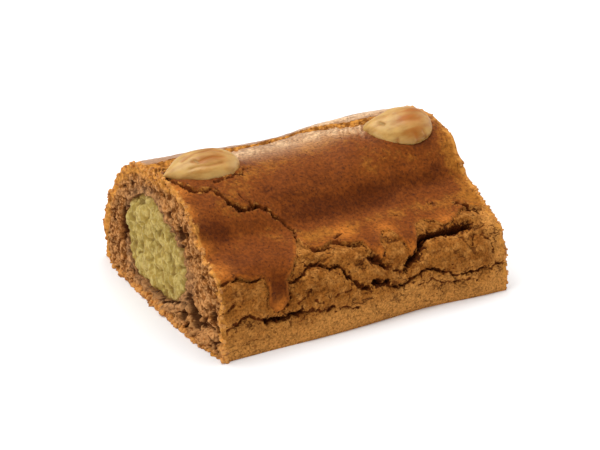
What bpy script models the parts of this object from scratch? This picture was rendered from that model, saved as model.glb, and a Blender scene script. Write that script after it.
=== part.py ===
"""A bar cut from a log of filled speculaas.

Spiced brown dough is baked round a rod of almond paste, and two blanched almonds are pressed into the top.
The bar lies on its flat base with its length along X, its torn and cracked side towards -Y and +Z up.
The origin is the middle of the base. Lengths are metres; tables are written in millimetres times MM.
"""

import math

import bmesh
import bpy
import numpy as np
from mathutils import Matrix, Vector, noise

MM = 0.001

# Driving dimensions.
BAR_LENGTH = 90 * MM  # between the cuts along their upper edges
CUT_MIDDLE = 0.4 * MM  # the middle between those edges, right of the origin
BASE_MIDDLE = 39.3 * MM  # from the front bottom edge back to the middle of the base
PASTE_CENTRE_Y = 2.2 * MM
PASTE_CENTRE_Z = 17.0 * MM
PASTE_HALF_WIDTH = 21.6 * MM
PASTE_HALF_HEIGHT = 14.6 * MM
PASTE_CROWN_SQUARENESS = 1.75  # exponent of the oval's upper half: 2 is an ellipse, less is more pointed
PASTE_FLOOR_SQUARENESS = 2.3  # of its lower half: more is boxier
PASTE_DENT = 0.2  # share of its reach that the paste lacks under the valley
PASTE_DENT_ANGLE = math.radians(136)
PASTE_DENT_SPREAD = math.radians(34)
PASTE_GAP = 0.3 * MM
SOCKET_GAP = 0.3 * MM

# Cross-sections of the dough at the left cut, the middle and the right cut. Each runs from the front bottom
# edge, up the torn front wall, over the lip, the valley and the dome, and down to the back bottom edge.
# Points are (distance behind the front bottom edge, height).
LEFT_SECTION = MM * np.array([
    (0.0, 0.0), (0.3, 8.0), (0.6, 15.0), (1.6, 20.5), (4.5, 23.4), (9.0, 25.0), (12.4, 27.8),
    (15.8, 32.0), (21.0, 35.6), (28.0, 38.2), (36.0, 39.2), (44.0, 39.0), (52.0, 37.5), (60.0, 34.6),
    (67.0, 29.2), (73.5, 22.0), (77.5, 15.0), (79.5, 8.0), (78.3, 2.5), (76.5, 0.0),
])
MIDDLE_SECTION = MM * np.array([
    (-1.0, 0.0), (-0.8, 8.0), (0.6, 14.0), (2.8, 19.0), (6.5, 22.2), (12.0, 23.6), (17.0, 25.2),
    (20.5, 28.6), (24.0, 33.0), (29.0, 36.8), (35.5, 39.1), (44.0, 39.8), (53.0, 38.6), (61.0, 35.6),
    (68.0, 30.0), (74.0, 22.5), (77.5, 15.0), (79.5, 8.0), (78.3, 2.5), (76.5, 0.0),
])
RIGHT_SECTION = MM * np.array([
    (0.0, 0.0), (0.4, 8.0), (1.9, 12.7), (4.5, 17.5), (8.7, 20.5), (13.2, 22.6), (17.5, 25.4),
    (22.0, 27.4), (25.2, 31.2), (29.0, 35.8), (35.0, 38.8), (44.0, 40.0), (53.0, 39.2), (61.0, 36.4),
    (68.0, 31.0), (74.0, 23.2), (77.5, 15.0), (79.5, 8.0), (78.3, 2.5), (76.5, 0.0),
])
CURVE_STEPS = 12  # samples of the smooth curve between two points of a section

# The dome sags and rises along the bar, and the front foot steps in and out: (along the bar, offset).
DOME_WAVE = MM * np.array([(-45, 0.0), (-30, -0.3), (-15, -1.6), (2, -1.9), (18, 0.5), (32, 1.1), (45, 0.4)])
FOOT_WAVE = MM * np.array([(-45, -1.0), (-30, -0.2), (-10, 0.4), (8, 1.6), (20, 2.1), (34, 0.8), (45, 0.0)])
FOOT_HEIGHT = 14 * MM
SWELL_HEIGHT = 16 * MM  # above the foot, where the left cut's swelling ends and the right cut's is full
LEFT_CUT_BULGE = 2.0 * MM  # how far the left cut's foot swells out past its upper edge
RIGHT_CUT_BULGE = 0.6 * MM

# Cracks in the crust, drawn on the unrolled skin: (along the bar, up over the skin from the front bottom edge).
# Each has a half width and a depth.
CRACKS = {
    "slash": (2.3 * MM, 2.1 * MM, MM * np.array([
        (-44.5, 61.0), (-41.5, 54.0), (-35.0, 50.5), (-28.0, 42.5), (-24.5, 43.5), (-19.0, 39.0),
        (-16.0, 33.0), (-15.5, 27.0),
    ])),
    "ridge_split": (2.0 * MM, 1.3 * MM, MM * np.array([
        (-45.0, 67.0), (-30.0, 69.0), (-15.0, 67.5), (0.0, 71.0), (15.0, 70.0), (29.0, 70.0),
    ])),
    "fissure": (2.3 * MM, 3.0 * MM, MM * np.array([
        (13.0, 15.0), (18.0, 20.5), (23.0, 21.0), (31.0, 21.6), (38.0, 21.6),
    ])),
    "side_crack": (2.1 * MM, 1.8 * MM, MM * np.array([
        (-18.0, 19.5), (-12.0, 18.4), (-3.5, 13.1), (1.0, 11.4), (9.0, 8.7), (19.0, 11.4), (29.0, 9.0), (43.0, 7.6),
    ])),
    "foot_crack": (2.1 * MM, 1.8 * MM, MM * np.array([
        (-42.0, 8.0), (-36.0, 10.9), (-30.0, 7.6), (-20.0, 8.6), (-5.0, 5.7),
    ])),
}
# The smooth baked skin ends in a ragged edge over the front: (along the bar, up over the skin).
# The crumb just below the edge is sunk under it.
SKIN_EDGE = MM * np.array([
    (-45.0, 21.3), (-38.5, 22.0), (-35.0, 20.3), (-31.0, 20.0), (-29.8, 11.0), (-26.0, 11.2), (-24.8, 18.5),
    (-20.5, 24.3), (-17.5, 30.5), (-15.0, 31.0), (-14.0, 25.8), (-7.5, 28.0), (-2.5, 25.2), (1.5, 24.0),
    (4.5, 18.6), (6.5, 22.0), (8.0, 26.7), (11.0, 26.5), (13.8, 17.4), (16.5, 19.5), (19.0, 25.9),
    (22.0, 27.6), (28.5, 23.8), (33.0, 24.5), (38.0, 28.4), (45.0, 26.0),
])
SKIN_THICKNESS = 1.3 * MM
SKIN_STEP = 1.2 * MM  # over which the edge drops
SKIN_UNDERCUT = 5.0 * MM  # over which the crumb comes back out below it

# Mesh density of the dough.
STATIONS = 58  # rings from one cut to the other
FRONT_SPACING = 1.7 * MM  # along the skin, up to FRONT_GIRTH
FRONT_GIRTH = 62 * MM
BACK_COLUMNS = 17  # from there down to the back bottom edge
BASE_COLUMNS = 12
CUT_RINGS = 6  # from the crust in to the paste
CHANNEL_STATIONS = 2

# Relief of the baked skin and of the cut faces.
LUMP_SIZE = 9 * MM
LUMP_HEIGHT = 0.45 * MM
CRAG_SIZE = 3.5 * MM
CRAG_HEIGHT = 0.55 * MM  # on the torn front wall only
TORN_GIRTH = 22 * MM
CUT_ROUGHNESS = 1.1 * MM
CUT_GRAIN = 3.0 * MM

PASTE_SIDES = 40
PASTE_RINGS = 7
PASTE_LUMP_SIZE = 3.4 * MM
PASTE_LUMP_HEIGHT = 0.9 * MM

ALMOND_SEGMENTS = 24
ALMOND_RINGS = 14
# Each almond's centre, its length, width and thickness, and its turns: roll to the front, tip down, and heading.
ALMONDS = {
    "almond_left": (MM * Vector((-33.0, -3.4, 39.4)), MM * Vector((23.0, 12.8, 7.4)), (-18, 2, 180)),
    "almond_right": (MM * Vector((31.0, -3.4, 39.6)), MM * Vector((22.0, 14.4, 8.2)), (-26, -1, 174)),
}

CRUST_COLOUR = (0.235, 0.062, 0.012, 1.0)
PASTE_COLOUR = (0.47, 0.31, 0.10, 1.0)
ALMOND_COLOUR = (0.60, 0.32, 0.11, 1.0)


def make_material(name, colour, roughness):
    """A Principled material of one colour, not metallic."""
    material = bpy.data.materials.new(name)
    material.use_nodes = True
    shader = material.node_tree.nodes["Principled BSDF"]
    shader.inputs["Base Color"].default_value = colour
    shader.inputs["Roughness"].default_value = roughness
    shader.inputs["Metallic"].default_value = 0.0
    material.diffuse_color = colour
    return material


def make_object(name, bm, material):
    """A smooth-shaded object of that name from a bmesh."""
    bm.normal_update()
    bmesh.ops.recalc_face_normals(bm, faces=bm.faces)
    mesh = bpy.data.meshes.new(name)
    bm.to_mesh(mesh)
    bm.free()
    mesh.shade_smooth()
    mesh.materials.append(material)
    made = bpy.data.objects.new(name, mesh)
    bpy.context.scene.collection.objects.link(made)
    return made


def smooth_curve(points):
    """A Catmull-Rom curve through the points, ends included."""
    padded = np.vstack([2 * points[0] - points[1], points, 2 * points[-1] - points[-2]])
    t = np.arange(CURVE_STEPS)[:, None] / CURVE_STEPS
    pieces = []
    for a, b, c, d in zip(padded, padded[1:], padded[2:], padded[3:]):
        pieces.append(0.5 * (2 * b + (c - a) * t + (2 * a - 5 * b + 4 * c - d) * t**2
                             + (3 * b - a - 3 * c + d) * t**3))
    return np.vstack([*pieces, points[-1:]])


def section_at(x):
    """The dough's smooth cross-section at x, as (y, z) points from the front bottom edge over to the back."""
    u = x / BAR_LENGTH
    left, middle, right = 2 * u * (u - 0.5), 1 - 4 * u * u, 2 * u * (u + 0.5)
    curve = smooth_curve(left * LEFT_SECTION + middle * MIDDLE_SECTION + right * RIGHT_SECTION)
    height = curve[:, 1] / curve[:, 1].max()
    foot = np.clip(1 - curve[:, 1] / FOOT_HEIGHT, 0, 1) * (curve[:, 0] < BASE_MIDDLE)
    curve[:, 0] += foot * np.interp(x, *smooth_curve(FOOT_WAVE).T) - BASE_MIDDLE
    curve[:, 1] += height**3 * np.interp(x, *smooth_curve(DOME_WAVE).T)
    return curve


def girth_samples(girth):
    """Where the skin is sampled, in metres up over it: closely on the front, wider apart at the back."""
    front = np.linspace(0, FRONT_GIRTH, round(FRONT_GIRTH / FRONT_SPACING) + 1)
    back = np.linspace(FRONT_GIRTH, girth, BACK_COLUMNS + 1)
    return np.concatenate([front, back[1:]])


def distance_to_path(points, path):
    """Each point's distance to an open path of straight runs, in the plane of the unrolled skin."""
    nearest = np.full(len(points), np.inf)
    for start, end in zip(path, path[1:]):
        run = end - start
        t = np.clip((points - start) @ run / (run @ run), 0, 1)
        nearest = np.minimum(nearest, np.linalg.norm(points - start - t[:, None] * run, axis=1))
    return nearest


def crack_depth(skin):
    """How far the cracks sink the crust at (x, up over the skin)."""
    depth = np.zeros(len(skin))
    for half_width, deepest, path in CRACKS.values():
        share = np.clip(distance_to_path(skin, path) / half_width, 0, 1)
        depth = np.maximum(depth, deepest * (1 - share**2) ** 2)
    return depth


def skin_sink(skin):
    """How far the crumb below the ragged edge of the smooth skin is sunk at (x, up over the skin)."""
    below = np.interp(skin[:, 0], *SKIN_EDGE.T) - skin[:, 1]
    return SKIN_THICKNESS * np.clip(below / SKIN_STEP, 0, 1) * np.exp(-np.maximum(below, 0) / SKIN_UNDERCUT)


def grain(points, size):
    """Smooth noise between about -1 and 1 with features of that size."""
    return np.array([noise.noise(Vector(p) / size) for p in points])


def skin_ring(x):
    """One ring of the baked skin at x: the points from the front bottom edge over to the back one, with relief."""
    curve = section_at(x)
    along = np.concatenate([[0], np.cumsum(np.linalg.norm(np.diff(curve, axis=0), axis=1))])
    girth = along[-1]
    s = girth_samples(girth)
    y = np.interp(s, along, curve[:, 0])
    z = np.interp(s, along, curve[:, 1])
    tangent = np.stack([np.gradient(y, s), np.gradient(z, s)], axis=1)
    tangent /= np.linalg.norm(tangent, axis=1)[:, None]
    outward = np.stack([-tangent[:, 1], tangent[:, 0]], axis=1)
    points = np.stack([np.full(len(s), x), y, z], axis=1)
    torn = np.clip((TORN_GIRTH - s) / CRAG_SIZE, 0, 1)
    relief = LUMP_HEIGHT * grain(points, LUMP_SIZE) + CRAG_HEIGHT * torn * grain(points, CRAG_SIZE)
    skin = np.stack([points[:, 0], s], axis=1)
    relief -= np.maximum(crack_depth(skin), skin_sink(skin))
    relief *= np.clip(np.minimum(s, girth - s) / FRONT_SPACING, 0, 1)  # the base edges stay on the base
    points[:, 1:] += relief[:, None] * outward
    points[:, 2] = np.maximum(points[:, 2], 0)
    return points


def base_ring(skin):
    """The points that close a skin ring along the flat base, from the back bottom edge to the front one."""
    t = (np.arange(BASE_COLUMNS - 1) + 1)[:, None] / BASE_COLUMNS
    points = (1 - t) * skin[-1] + t * skin[0]
    points[:, 2] = 0
    return points


def oval_point(angle, half_width, half_height):
    """A point of the paste's dented oval at that angle about its centre, as (y, z)."""
    c, s = math.cos(angle), math.sin(angle)
    power = PASTE_CROWN_SQUARENESS if s > 0 else PASTE_FLOOR_SQUARENESS
    reach = (abs(c / half_width) ** power + abs(s / half_height) ** power) ** (-1 / power)
    off = (angle % (2 * math.pi) - PASTE_DENT_ANGLE) / PASTE_DENT_SPREAD
    reach *= 1 - PASTE_DENT * math.exp(-off * off)
    return PASTE_CENTRE_Y + reach * c, PASTE_CENTRE_Z + reach * s


def channel_ring(outer, x):
    """The paste's channel at x, with one point on the line from the paste's centre to each point of the outer ring."""
    points = []
    for _, y, z in outer:
        angle = math.atan2(z - PASTE_CENTRE_Z, y - PASTE_CENTRE_Y)
        points.append((x, *oval_point(angle, PASTE_HALF_WIDTH, PASTE_HALF_HEIGHT)))
    return np.array(points)


def cut_bulge(ring, side):
    """How far a cut face swells out at each point: the left one at its foot, the right one above it."""
    height = np.clip(ring[:, 2] / SWELL_HEIGHT, 0, 1)
    if side < 0:
        return LEFT_CUT_BULGE * (1 - height) ** 2 * (1 - (ring[:, 1] / BASE_MIDDLE) ** 4)
    return RIGHT_CUT_BULGE * height


def cut_rings(outer, side):
    """The rough rings of a cut face, from the crust in to the channel. side is -1 at the left, 1 at the right."""
    inner = channel_ring(outer, side * BAR_LENGTH / 2)
    rings = []
    for step in range(CUT_RINGS + 1):
        share = step / CUT_RINGS
        ring = (1 - share) * outer + share * inner
        rough = CUT_ROUGHNESS * (0.5 + 0.5 * grain(ring, CUT_GRAIN))
        ring[:, 0] = side * (BAR_LENGTH / 2 + cut_bulge(ring, side) - rough)
        rings.append(ring)
    return rings


def sew(bm, ring_a, ring_b):
    """A band of triangles between two closed rings of as many vertices."""
    count = len(ring_a)
    for i in range(count):
        j = (i + 1) % count
        bm.faces.new((ring_a[i], ring_a[j], ring_b[i]))
        bm.faces.new((ring_a[j], ring_b[j], ring_b[i]))


def make_dough(material):
    """The dough: skin, flat base, two cut faces and the channel that the paste runs through, as one closed body."""
    outer = []
    for x in np.linspace(-BAR_LENGTH / 2, BAR_LENGTH / 2, STATIONS):
        skin = skin_ring(x)
        outer.append(np.vstack([skin, base_ring(skin)]))
    rings = list(reversed(cut_rings(outer[0], -1))) + outer[1:-1] + cut_rings(outer[-1], 1)
    span = np.linspace(BAR_LENGTH / 2, -BAR_LENGTH / 2, CHANNEL_STATIONS + 2)[1:-1]
    rings += [channel_ring(outer[STATIONS // 2], x) for x in span]
    bm = bmesh.new()
    sewn = [[bm.verts.new(p + (CUT_MIDDLE, 0, 0)) for p in ring] for ring in rings]
    for ring_a, ring_b in zip(sewn, sewn[1:] + sewn[:1]):
        sew(bm, ring_a, ring_b)
    return make_object("speculaas_dough", bm, material)


def paste_ring(x, share):
    """A ring of the paste at x, share of the way out from its centre line."""
    points = []
    for i in range(PASTE_SIDES):
        y, z = oval_point(2 * math.pi * i / PASTE_SIDES, PASTE_HALF_WIDTH - PASTE_GAP, PASTE_HALF_HEIGHT - PASTE_GAP)
        points.append((x, PASTE_CENTRE_Y + share * (y - PASTE_CENTRE_Y), PASTE_CENTRE_Z + share * (z - PASTE_CENTRE_Z)))
    return np.array(points)


def make_paste(material):
    """The rod of almond paste, with lumpy ends where the bar was cut."""
    rings = []
    for side in (-1, 1):
        end = []
        for step in range(1, PASTE_RINGS + 1):
            ring = paste_ring(side * BAR_LENGTH / 2, step / PASTE_RINGS)
            lumps = (0.5 + 0.5 * grain(ring, PASTE_LUMP_SIZE)) * PASTE_LUMP_HEIGHT
            ring[:, 0] -= side * lumps
            end.append(ring)
        rings += end if side < 0 else reversed(end)
    bm = bmesh.new()
    sewn = [[bm.verts.new(p + (CUT_MIDDLE, 0, 0)) for p in ring] for ring in rings]
    for ring_a, ring_b in zip(sewn, sewn[1:]):
        sew(bm, ring_a, ring_b)
    for ring in (sewn[0], sewn[-1]):
        hub = bm.verts.new(sum((v.co for v in ring), Vector()) / PASTE_SIDES)
        for i in range(PASTE_SIDES):
            bm.faces.new((ring[i], ring[(i + 1) % PASTE_SIDES], hub))
    return make_object("almond_paste", bm, material)


def almond_shape(p, size, swell):
    """A point of the unit sphere moved to the almond's form, tip at +X, swollen by that many metres."""
    x, y, z = p
    taper = 1 - 0.32 * max(x, 0) ** 1.5  # narrower towards the tip
    half = size / 2 + Vector((swell, swell, swell))
    flat = 0.75 if z < 0 else 1.0  # the underside is flatter
    return Vector((x * half.x, y * half.y * taper, z * half.z * flat * (1 - 0.25 * max(x, 0))))


def make_almond(name, material, swell=0.0):
    """One blanched almond, or with a swell the cutter for its socket."""
    centre, size, turns = ALMONDS[name]
    roll, pitch, heading = (math.radians(turn) for turn in turns)
    bm = bmesh.new()
    upright = Matrix.Rotation(math.radians(90), 4, "Y")
    bmesh.ops.create_uvsphere(bm, u_segments=ALMOND_SEGMENTS, v_segments=ALMOND_RINGS, radius=1.0, matrix=upright)
    turn = Matrix.Rotation(roll, 3, "X").inverted() @ Matrix.Rotation(heading, 3, "Z") @ Matrix.Rotation(pitch, 3, "Y")
    for v in bm.verts:
        v.co = turn @ almond_shape(v.co, size, swell) + centre
        v.co.x += CUT_MIDDLE
    return make_object(name if not swell else name + "_socket", bm, material)


def cut_socket(dough, cutter):
    """Cuts an almond's socket out of the dough and hides the cutter."""
    cutter.hide_render = True
    cutter.display_type = "WIRE"
    cut = dough.modifiers.new(cutter.name, "BOOLEAN")
    cut.operation = "DIFFERENCE"
    cut.object = cutter


def main():
    for old in list(bpy.data.objects):
        bpy.data.objects.remove(old)
    crust = make_material("baked_crust", CRUST_COLOUR, 0.55)
    paste = make_material("almond_paste", PASTE_COLOUR, 0.6)
    blanched = make_material("blanched_almond", ALMOND_COLOUR, 0.4)
    dough = make_dough(crust)
    make_paste(paste)
    for name in ALMONDS:
        make_almond(name, blanched)
        cut_socket(dough, make_almond(name, crust, SOCKET_GAP))


main()
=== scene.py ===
"""Dresses a packed filled speculaas bar: spiced dough baked round almond paste, with two almonds on top.

Lengths in the tables are millimetres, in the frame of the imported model. The bar lies along X on its flat base,
with its torn side towards -Y. "Girth" is the distance up over the skin from the front bottom edge.
"""

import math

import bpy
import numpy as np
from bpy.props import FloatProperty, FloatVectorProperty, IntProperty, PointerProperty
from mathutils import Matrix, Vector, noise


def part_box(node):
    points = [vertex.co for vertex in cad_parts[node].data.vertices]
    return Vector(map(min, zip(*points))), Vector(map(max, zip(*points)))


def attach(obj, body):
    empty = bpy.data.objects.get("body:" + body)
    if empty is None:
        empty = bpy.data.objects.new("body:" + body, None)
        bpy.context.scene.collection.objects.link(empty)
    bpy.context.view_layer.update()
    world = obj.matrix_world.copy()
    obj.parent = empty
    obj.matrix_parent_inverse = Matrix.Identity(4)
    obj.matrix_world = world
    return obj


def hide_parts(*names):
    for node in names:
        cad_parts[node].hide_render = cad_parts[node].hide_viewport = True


bl_info = {
    "name": "Filled Speculaas Bar",
    "version": (1, 0, 0),
    "blender": (4, 5, 0),
    "location": "View3D > Sidebar > Speculaas",
    "description": "Bakes a filled speculaas bar: cracked dough, almond paste, almonds and crumbs",
    "category": "Add Mesh",
}

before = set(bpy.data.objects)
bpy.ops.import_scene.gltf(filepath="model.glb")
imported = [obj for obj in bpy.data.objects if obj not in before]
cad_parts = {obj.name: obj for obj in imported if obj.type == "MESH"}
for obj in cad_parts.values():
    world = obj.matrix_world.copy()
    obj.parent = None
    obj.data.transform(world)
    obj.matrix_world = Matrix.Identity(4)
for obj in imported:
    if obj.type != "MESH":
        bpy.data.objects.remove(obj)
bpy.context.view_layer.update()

MM = 0.001
SEED = 11

# The bar's form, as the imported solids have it.
BAR_LENGTH = 90.0
CUT_MIDDLE = 0.4  # the middle between the cuts, right of the origin
BASE_MIDDLE = 39.3  # from the front bottom edge back to the origin
LEFT_SECTION = np.array([
    (0.0, 0.0), (0.3, 8.0), (0.6, 15.0), (1.6, 20.5), (4.5, 23.4), (9.0, 25.0), (12.4, 27.8),
    (15.8, 32.0), (21.0, 35.6), (28.0, 38.2), (36.0, 39.2), (44.0, 39.0), (52.0, 37.5), (60.0, 34.6),
    (67.0, 29.2), (73.5, 22.0), (77.5, 15.0), (79.5, 8.0), (78.3, 2.5), (76.5, 0.0),
])
MIDDLE_SECTION = np.array([
    (-1.0, 0.0), (-0.8, 8.0), (0.6, 14.0), (2.8, 19.0), (6.5, 22.2), (12.0, 23.6), (17.0, 25.2),
    (20.5, 28.6), (24.0, 33.0), (29.0, 36.8), (35.5, 39.1), (44.0, 39.8), (53.0, 38.6), (61.0, 35.6),
    (68.0, 30.0), (74.0, 22.5), (77.5, 15.0), (79.5, 8.0), (78.3, 2.5), (76.5, 0.0),
])
RIGHT_SECTION = np.array([
    (0.0, 0.0), (0.4, 8.0), (1.9, 12.7), (4.5, 17.5), (8.7, 20.5), (13.2, 22.6), (17.5, 25.4),
    (22.0, 27.4), (25.2, 31.2), (29.0, 35.8), (35.0, 38.8), (44.0, 40.0), (53.0, 39.2), (61.0, 36.4),
    (68.0, 31.0), (74.0, 23.2), (77.5, 15.0), (79.5, 8.0), (78.3, 2.5), (76.5, 0.0),
])
CURVE_STEPS = 12
DOME_WAVE = np.array([(-45, 0.0), (-30, -0.3), (-15, -1.6), (2, -1.9), (18, 0.5), (32, 1.1), (45, 0.4)])
FOOT_WAVE = np.array([(-45, -1.0), (-30, -0.2), (-10, 0.4), (8, 1.6), (20, 2.1), (34, 0.8), (45, 0.0)])
FOOT_HEIGHT = 14.0
SWELL_HEIGHT = 16.0
LEFT_CUT_BULGE = 2.0
RIGHT_CUT_BULGE = 0.6

# The rod of almond paste.
PASTE_CENTRE = np.array((2.2, 17.0))
PASTE_HALF_WIDTH = 21.6
PASTE_HALF_HEIGHT = 14.6
PASTE_CROWN_SQUARENESS = 1.75
PASTE_FLOOR_SQUARENESS = 2.3
PASTE_DENT = 0.2
PASTE_DENT_ANGLE = math.radians(136)
PASTE_DENT_SPREAD = math.radians(34)

# Cracks on the unrolled skin: half width, depth, darkness of the painted shade in it, then (along the bar,
# girth) points.
CRACKS = {
    "slash": (0.58, 1.7, 0.78, [(-45.5, 62), (-44, 59), (-43.2, 56), (-41.3, 54), (-39.5, 51), (-35, 50.8),
                                (-33, 48), (-31.5, 44.8), (-28, 42.4), (-24.5, 43.6), (-21.5, 42)]),
    "slash_end": (0.44, 1.4, 0.75, [(-21.5, 42), (-19.5, 39.8), (-17.5, 37.2), (-16, 34.3), (-16.6, 31.5)]),
    "slash_branch": (0.30, 1.0, 0.7, [(-27.2, 48), (-26.4, 45.4), (-25.4, 43.8)]),
    "slash_spur": (0.20, 0.6, 0.5, [(-33.6, 52.6), (-32.6, 50.4), (-33, 48)]),
    "almond_end": (0.42, 1.1, 0.8, [(-32, 53.4), (-26.5, 54.6), (-22.5, 55.8)]),
    "almond_end_top": (0.26, 0.8, 0.6, [(-22.8, 57.6), (-20.8, 57.2), (-18.6, 58.4)]),
    "ridge_split": (2.0, 1.5, 0.3, [(-45, 70), (-38, 71), (-28, 71.5), (-19, 73), (-16, 74.5), (-11, 76),
                                    (-7, 75.6), (-2, 78), (6, 78), (10, 76), (14, 72.8), (16, 70.8), (20, 68),
                                    (24, 67), (29, 66.5)]),
    "ridge_shadow": (0.50, 1.8, 0.9, [(-45, 68.6), (-38, 69.6), (-28, 70), (-19, 71.6), (-16, 73), (-11, 74.4),
                                      (-7, 74), (-2, 76.2), (6, 76.2), (10, 74.4), (14, 71.3), (16, 69.3),
                                      (20, 66.5), (24, 65.6), (29, 65)]),
    "ridge_torn": (2.4, 0.8, 0.3, [(-47, 66), (-43, 65.6), (-39, 67)]),
    "ridge_hollow": (0.95, 2.0, 1.0, [(-44.8, 65.2), (-43.2, 66.2), (-40.5, 67.4)]),
    "fissure": (0.95, 4.0, 1.0, [(12.8, 14.8), (15, 16.2), (17.2, 17.6), (18.2, 20), (20.5, 21.4), (26, 21.6),
                                 (36, 21.6)]),
    "fissure_wide": (1.50, 4.2, 1.0, [(25.5, 21.7), (29, 21.2), (32, 21.6)]),
    "fissure_end": (0.28, 0.9, 0.7, [(33, 21), (37, 20.4), (40.5, 20.8)]),
    "under_teeth": (0.62, 1.8, 0.85, [(1.2, 19.8), (4, 17.3), (5.4, 15.6)]),
    "under_teeth_end": (0.34, 1.2, 0.8, [(5.4, 15.6), (8, 14.1), (11, 13.4)]),
    "edge_gap": (0.32, 0.9, 0.65, [(-15.6, 29.6), (-13.8, 25.4), (-10.6, 25.6), (-7.5, 27.2), (-4.5, 25.4),
                                   (0, 23.8)]),
    "skin_foot": (0.28, 0.8, 0.7, [(-46, 20.6), (-41, 21.2), (-38, 21.6), (-35.4, 20), (-31.5, 20.6)]),
    "side_crack": (0.45, 1.7, 0.75, [(-18.4, 21), (-14.4, 20.8), (-12, 18.9), (-8.7, 18.8), (-6, 14.5),
                                     (-3, 12), (-0.5, 10.6)]),
    "side_crack_middle": (0.75, 2.6, 1.0, [(1.2, 12.2), (5.5, 11.2)]),
    "side_crack_right": (0.40, 1.5, 0.75, [(5.8, 10.4), (7, 9.2), (9, 8.7), (14.5, 10.5), (19, 12.1),
                                           (24.5, 9.9)]),
    "side_crack_end": (0.32, 1.1, 0.7, [(24.5, 9.9), (30, 8), (37, 8.2), (43.5, 8.6)]),
    "side_hairline": (0.20, 0.6, 0.6, [(16, 8), (20, 8.7), (24.5, 6.6), (29.5, 5.8), (35.5, 5.8)]),
    "flake_foot": (0.36, 0.7, 0.25, [(-43.4, 7.6), (-40.5, 9.3), (-37, 10.7), (-34.5, 9.6), (-32.4, 8.4)]),
    "foot_slit": (0.62, 2.8, 1.0, [(-31.5, 8.2), (-28.5, 7.6), (-25.5, 8), (-21.5, 8.6)]),
    "foot_hairline": (0.28, 0.9, 0.7, [(-21.5, 8), (-18.5, 8.8), (-16, 7.3), (-11.5, 8), (-4, 5.7)]),
    "drip_side": (0.36, 1.3, 0.7, [(-23.6, 15.5), (-24.3, 13.8), (-26, 10.6)]),
    "plate_top_left": (0.40, 1.2, 0.7, [(-24.6, 17.4), (-21.5, 17.6), (-18.4, 20.2)]),
    "plate_nick_a": (0.24, 0.6, 0.6, [(-17.5, 13.9), (-19.5, 12.7), (-22, 10.8)]),
    "plate_nick_b": (0.20, 0.5, 0.5, [(-11.2, 11.2), (-8.5, 11.7), (-6, 11.3)]),
    "plate_nick_c": (0.25, 0.5, 0.6, [(-17, 10.8), (-15.5, 10)]),
    "foot_nick": (0.18, 0.4, 0.5, [(-38.5, 3.3), (-34, 4.1)]),
    "corner_nick": (0.28, 0.8, 0.5, [(-45.5, 12.2), (-43, 13.2), (-40.8, 14.6)]),
    "lip_nick_a": (0.26, 0.7, 0.8, [(28, 33.2), (30, 31.7)]),
    "lip_nick_b": (0.24, 0.6, 0.8, [(15.4, 32.2), (16.7, 31.2)]),
    "lip_nick_c": (0.36, 0.8, 0.5, [(-6.5, 28), (-3, 30)]),
    "lip_end": (0.5, 1.0, 0.45, [(36.4, 30), (39.5, 28.4), (42, 25.6)]),
    "plate_nick_d": (0.26, 0.7, 0.7, [(36, 18.4), (34.5, 16)]),
    "plate_nick_e": (0.30, 0.7, 0.7, [(38.3, 17.8), (41, 15.8)]),
    "plate_nick_f": (0.24, 0.6, 0.7, [(41.6, 14.8), (41.4, 12.4)]),
}
# The ragged lower edge of the smooth skin: (along the bar, girth).
SKIN_EDGE = [
    (-48, 21.5), (-42, 21), (-38.5, 22), (-35.5, 20.4), (-32, 20.3), (-30.8, 18), (-31, 12.4), (-29, 10.4),
    (-27, 10.8), (-25, 13), (-25, 18.6), (-23, 21), (-20.5, 24.3), (-18.4, 28), (-16.8, 31.4), (-15.4, 31.4),
    (-15.8, 28.4), (-14, 25.8), (-11, 26.3), (-7.5, 28), (-5, 26.3), (-2.5, 25.2), (1.2, 25), (1.8, 21.6),
    (4.6, 18.4), (6, 20), (5.8, 23), (8, 26.7), (11, 26.7), (12, 23.4), (13, 21.2), (14.2, 17.2), (16, 18.8),
    (17.5, 21.8), (19, 25.9), (22, 27.6), (26, 26), (28.2, 23.6), (31, 24.4), (33, 25.5), (35.5, 27.5),
    (38.5, 28.8), (42, 27.5), (48, 26.5),
]
# The outline of the flake that lies on the torn side at the left, under the edge of the skin.
FLAKE = [(-46, 20.6), (-40.5, 21), (-35.3, 19.6), (-31.8, 20.2), (-31.2, 16), (-32.4, 10.6), (-35, 12.2),
         (-37, 11.4), (-40.5, 13.8), (-46, 12.8)]
# Patches of skin and crumb painted orange, partly where they caught the most heat and partly as painted light
# on broken edges: (along the bar, girth, radius).
TOASTED_AND_PAINTED_LIGHT = [(4.7, 19.4, 2.2), (14.3, 18.4, 2.2), (29.4, 24.8, 3.0), (-27.6, 11.6, 2.4), (-43.5, 24.5, 3.6),
           (-44.6, 33, 3.0), (-44.5, 44, 2.6), (-43.5, 52, 3.0), (10, 27.5, 3.0), (-2, 30, 3.2)]
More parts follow.
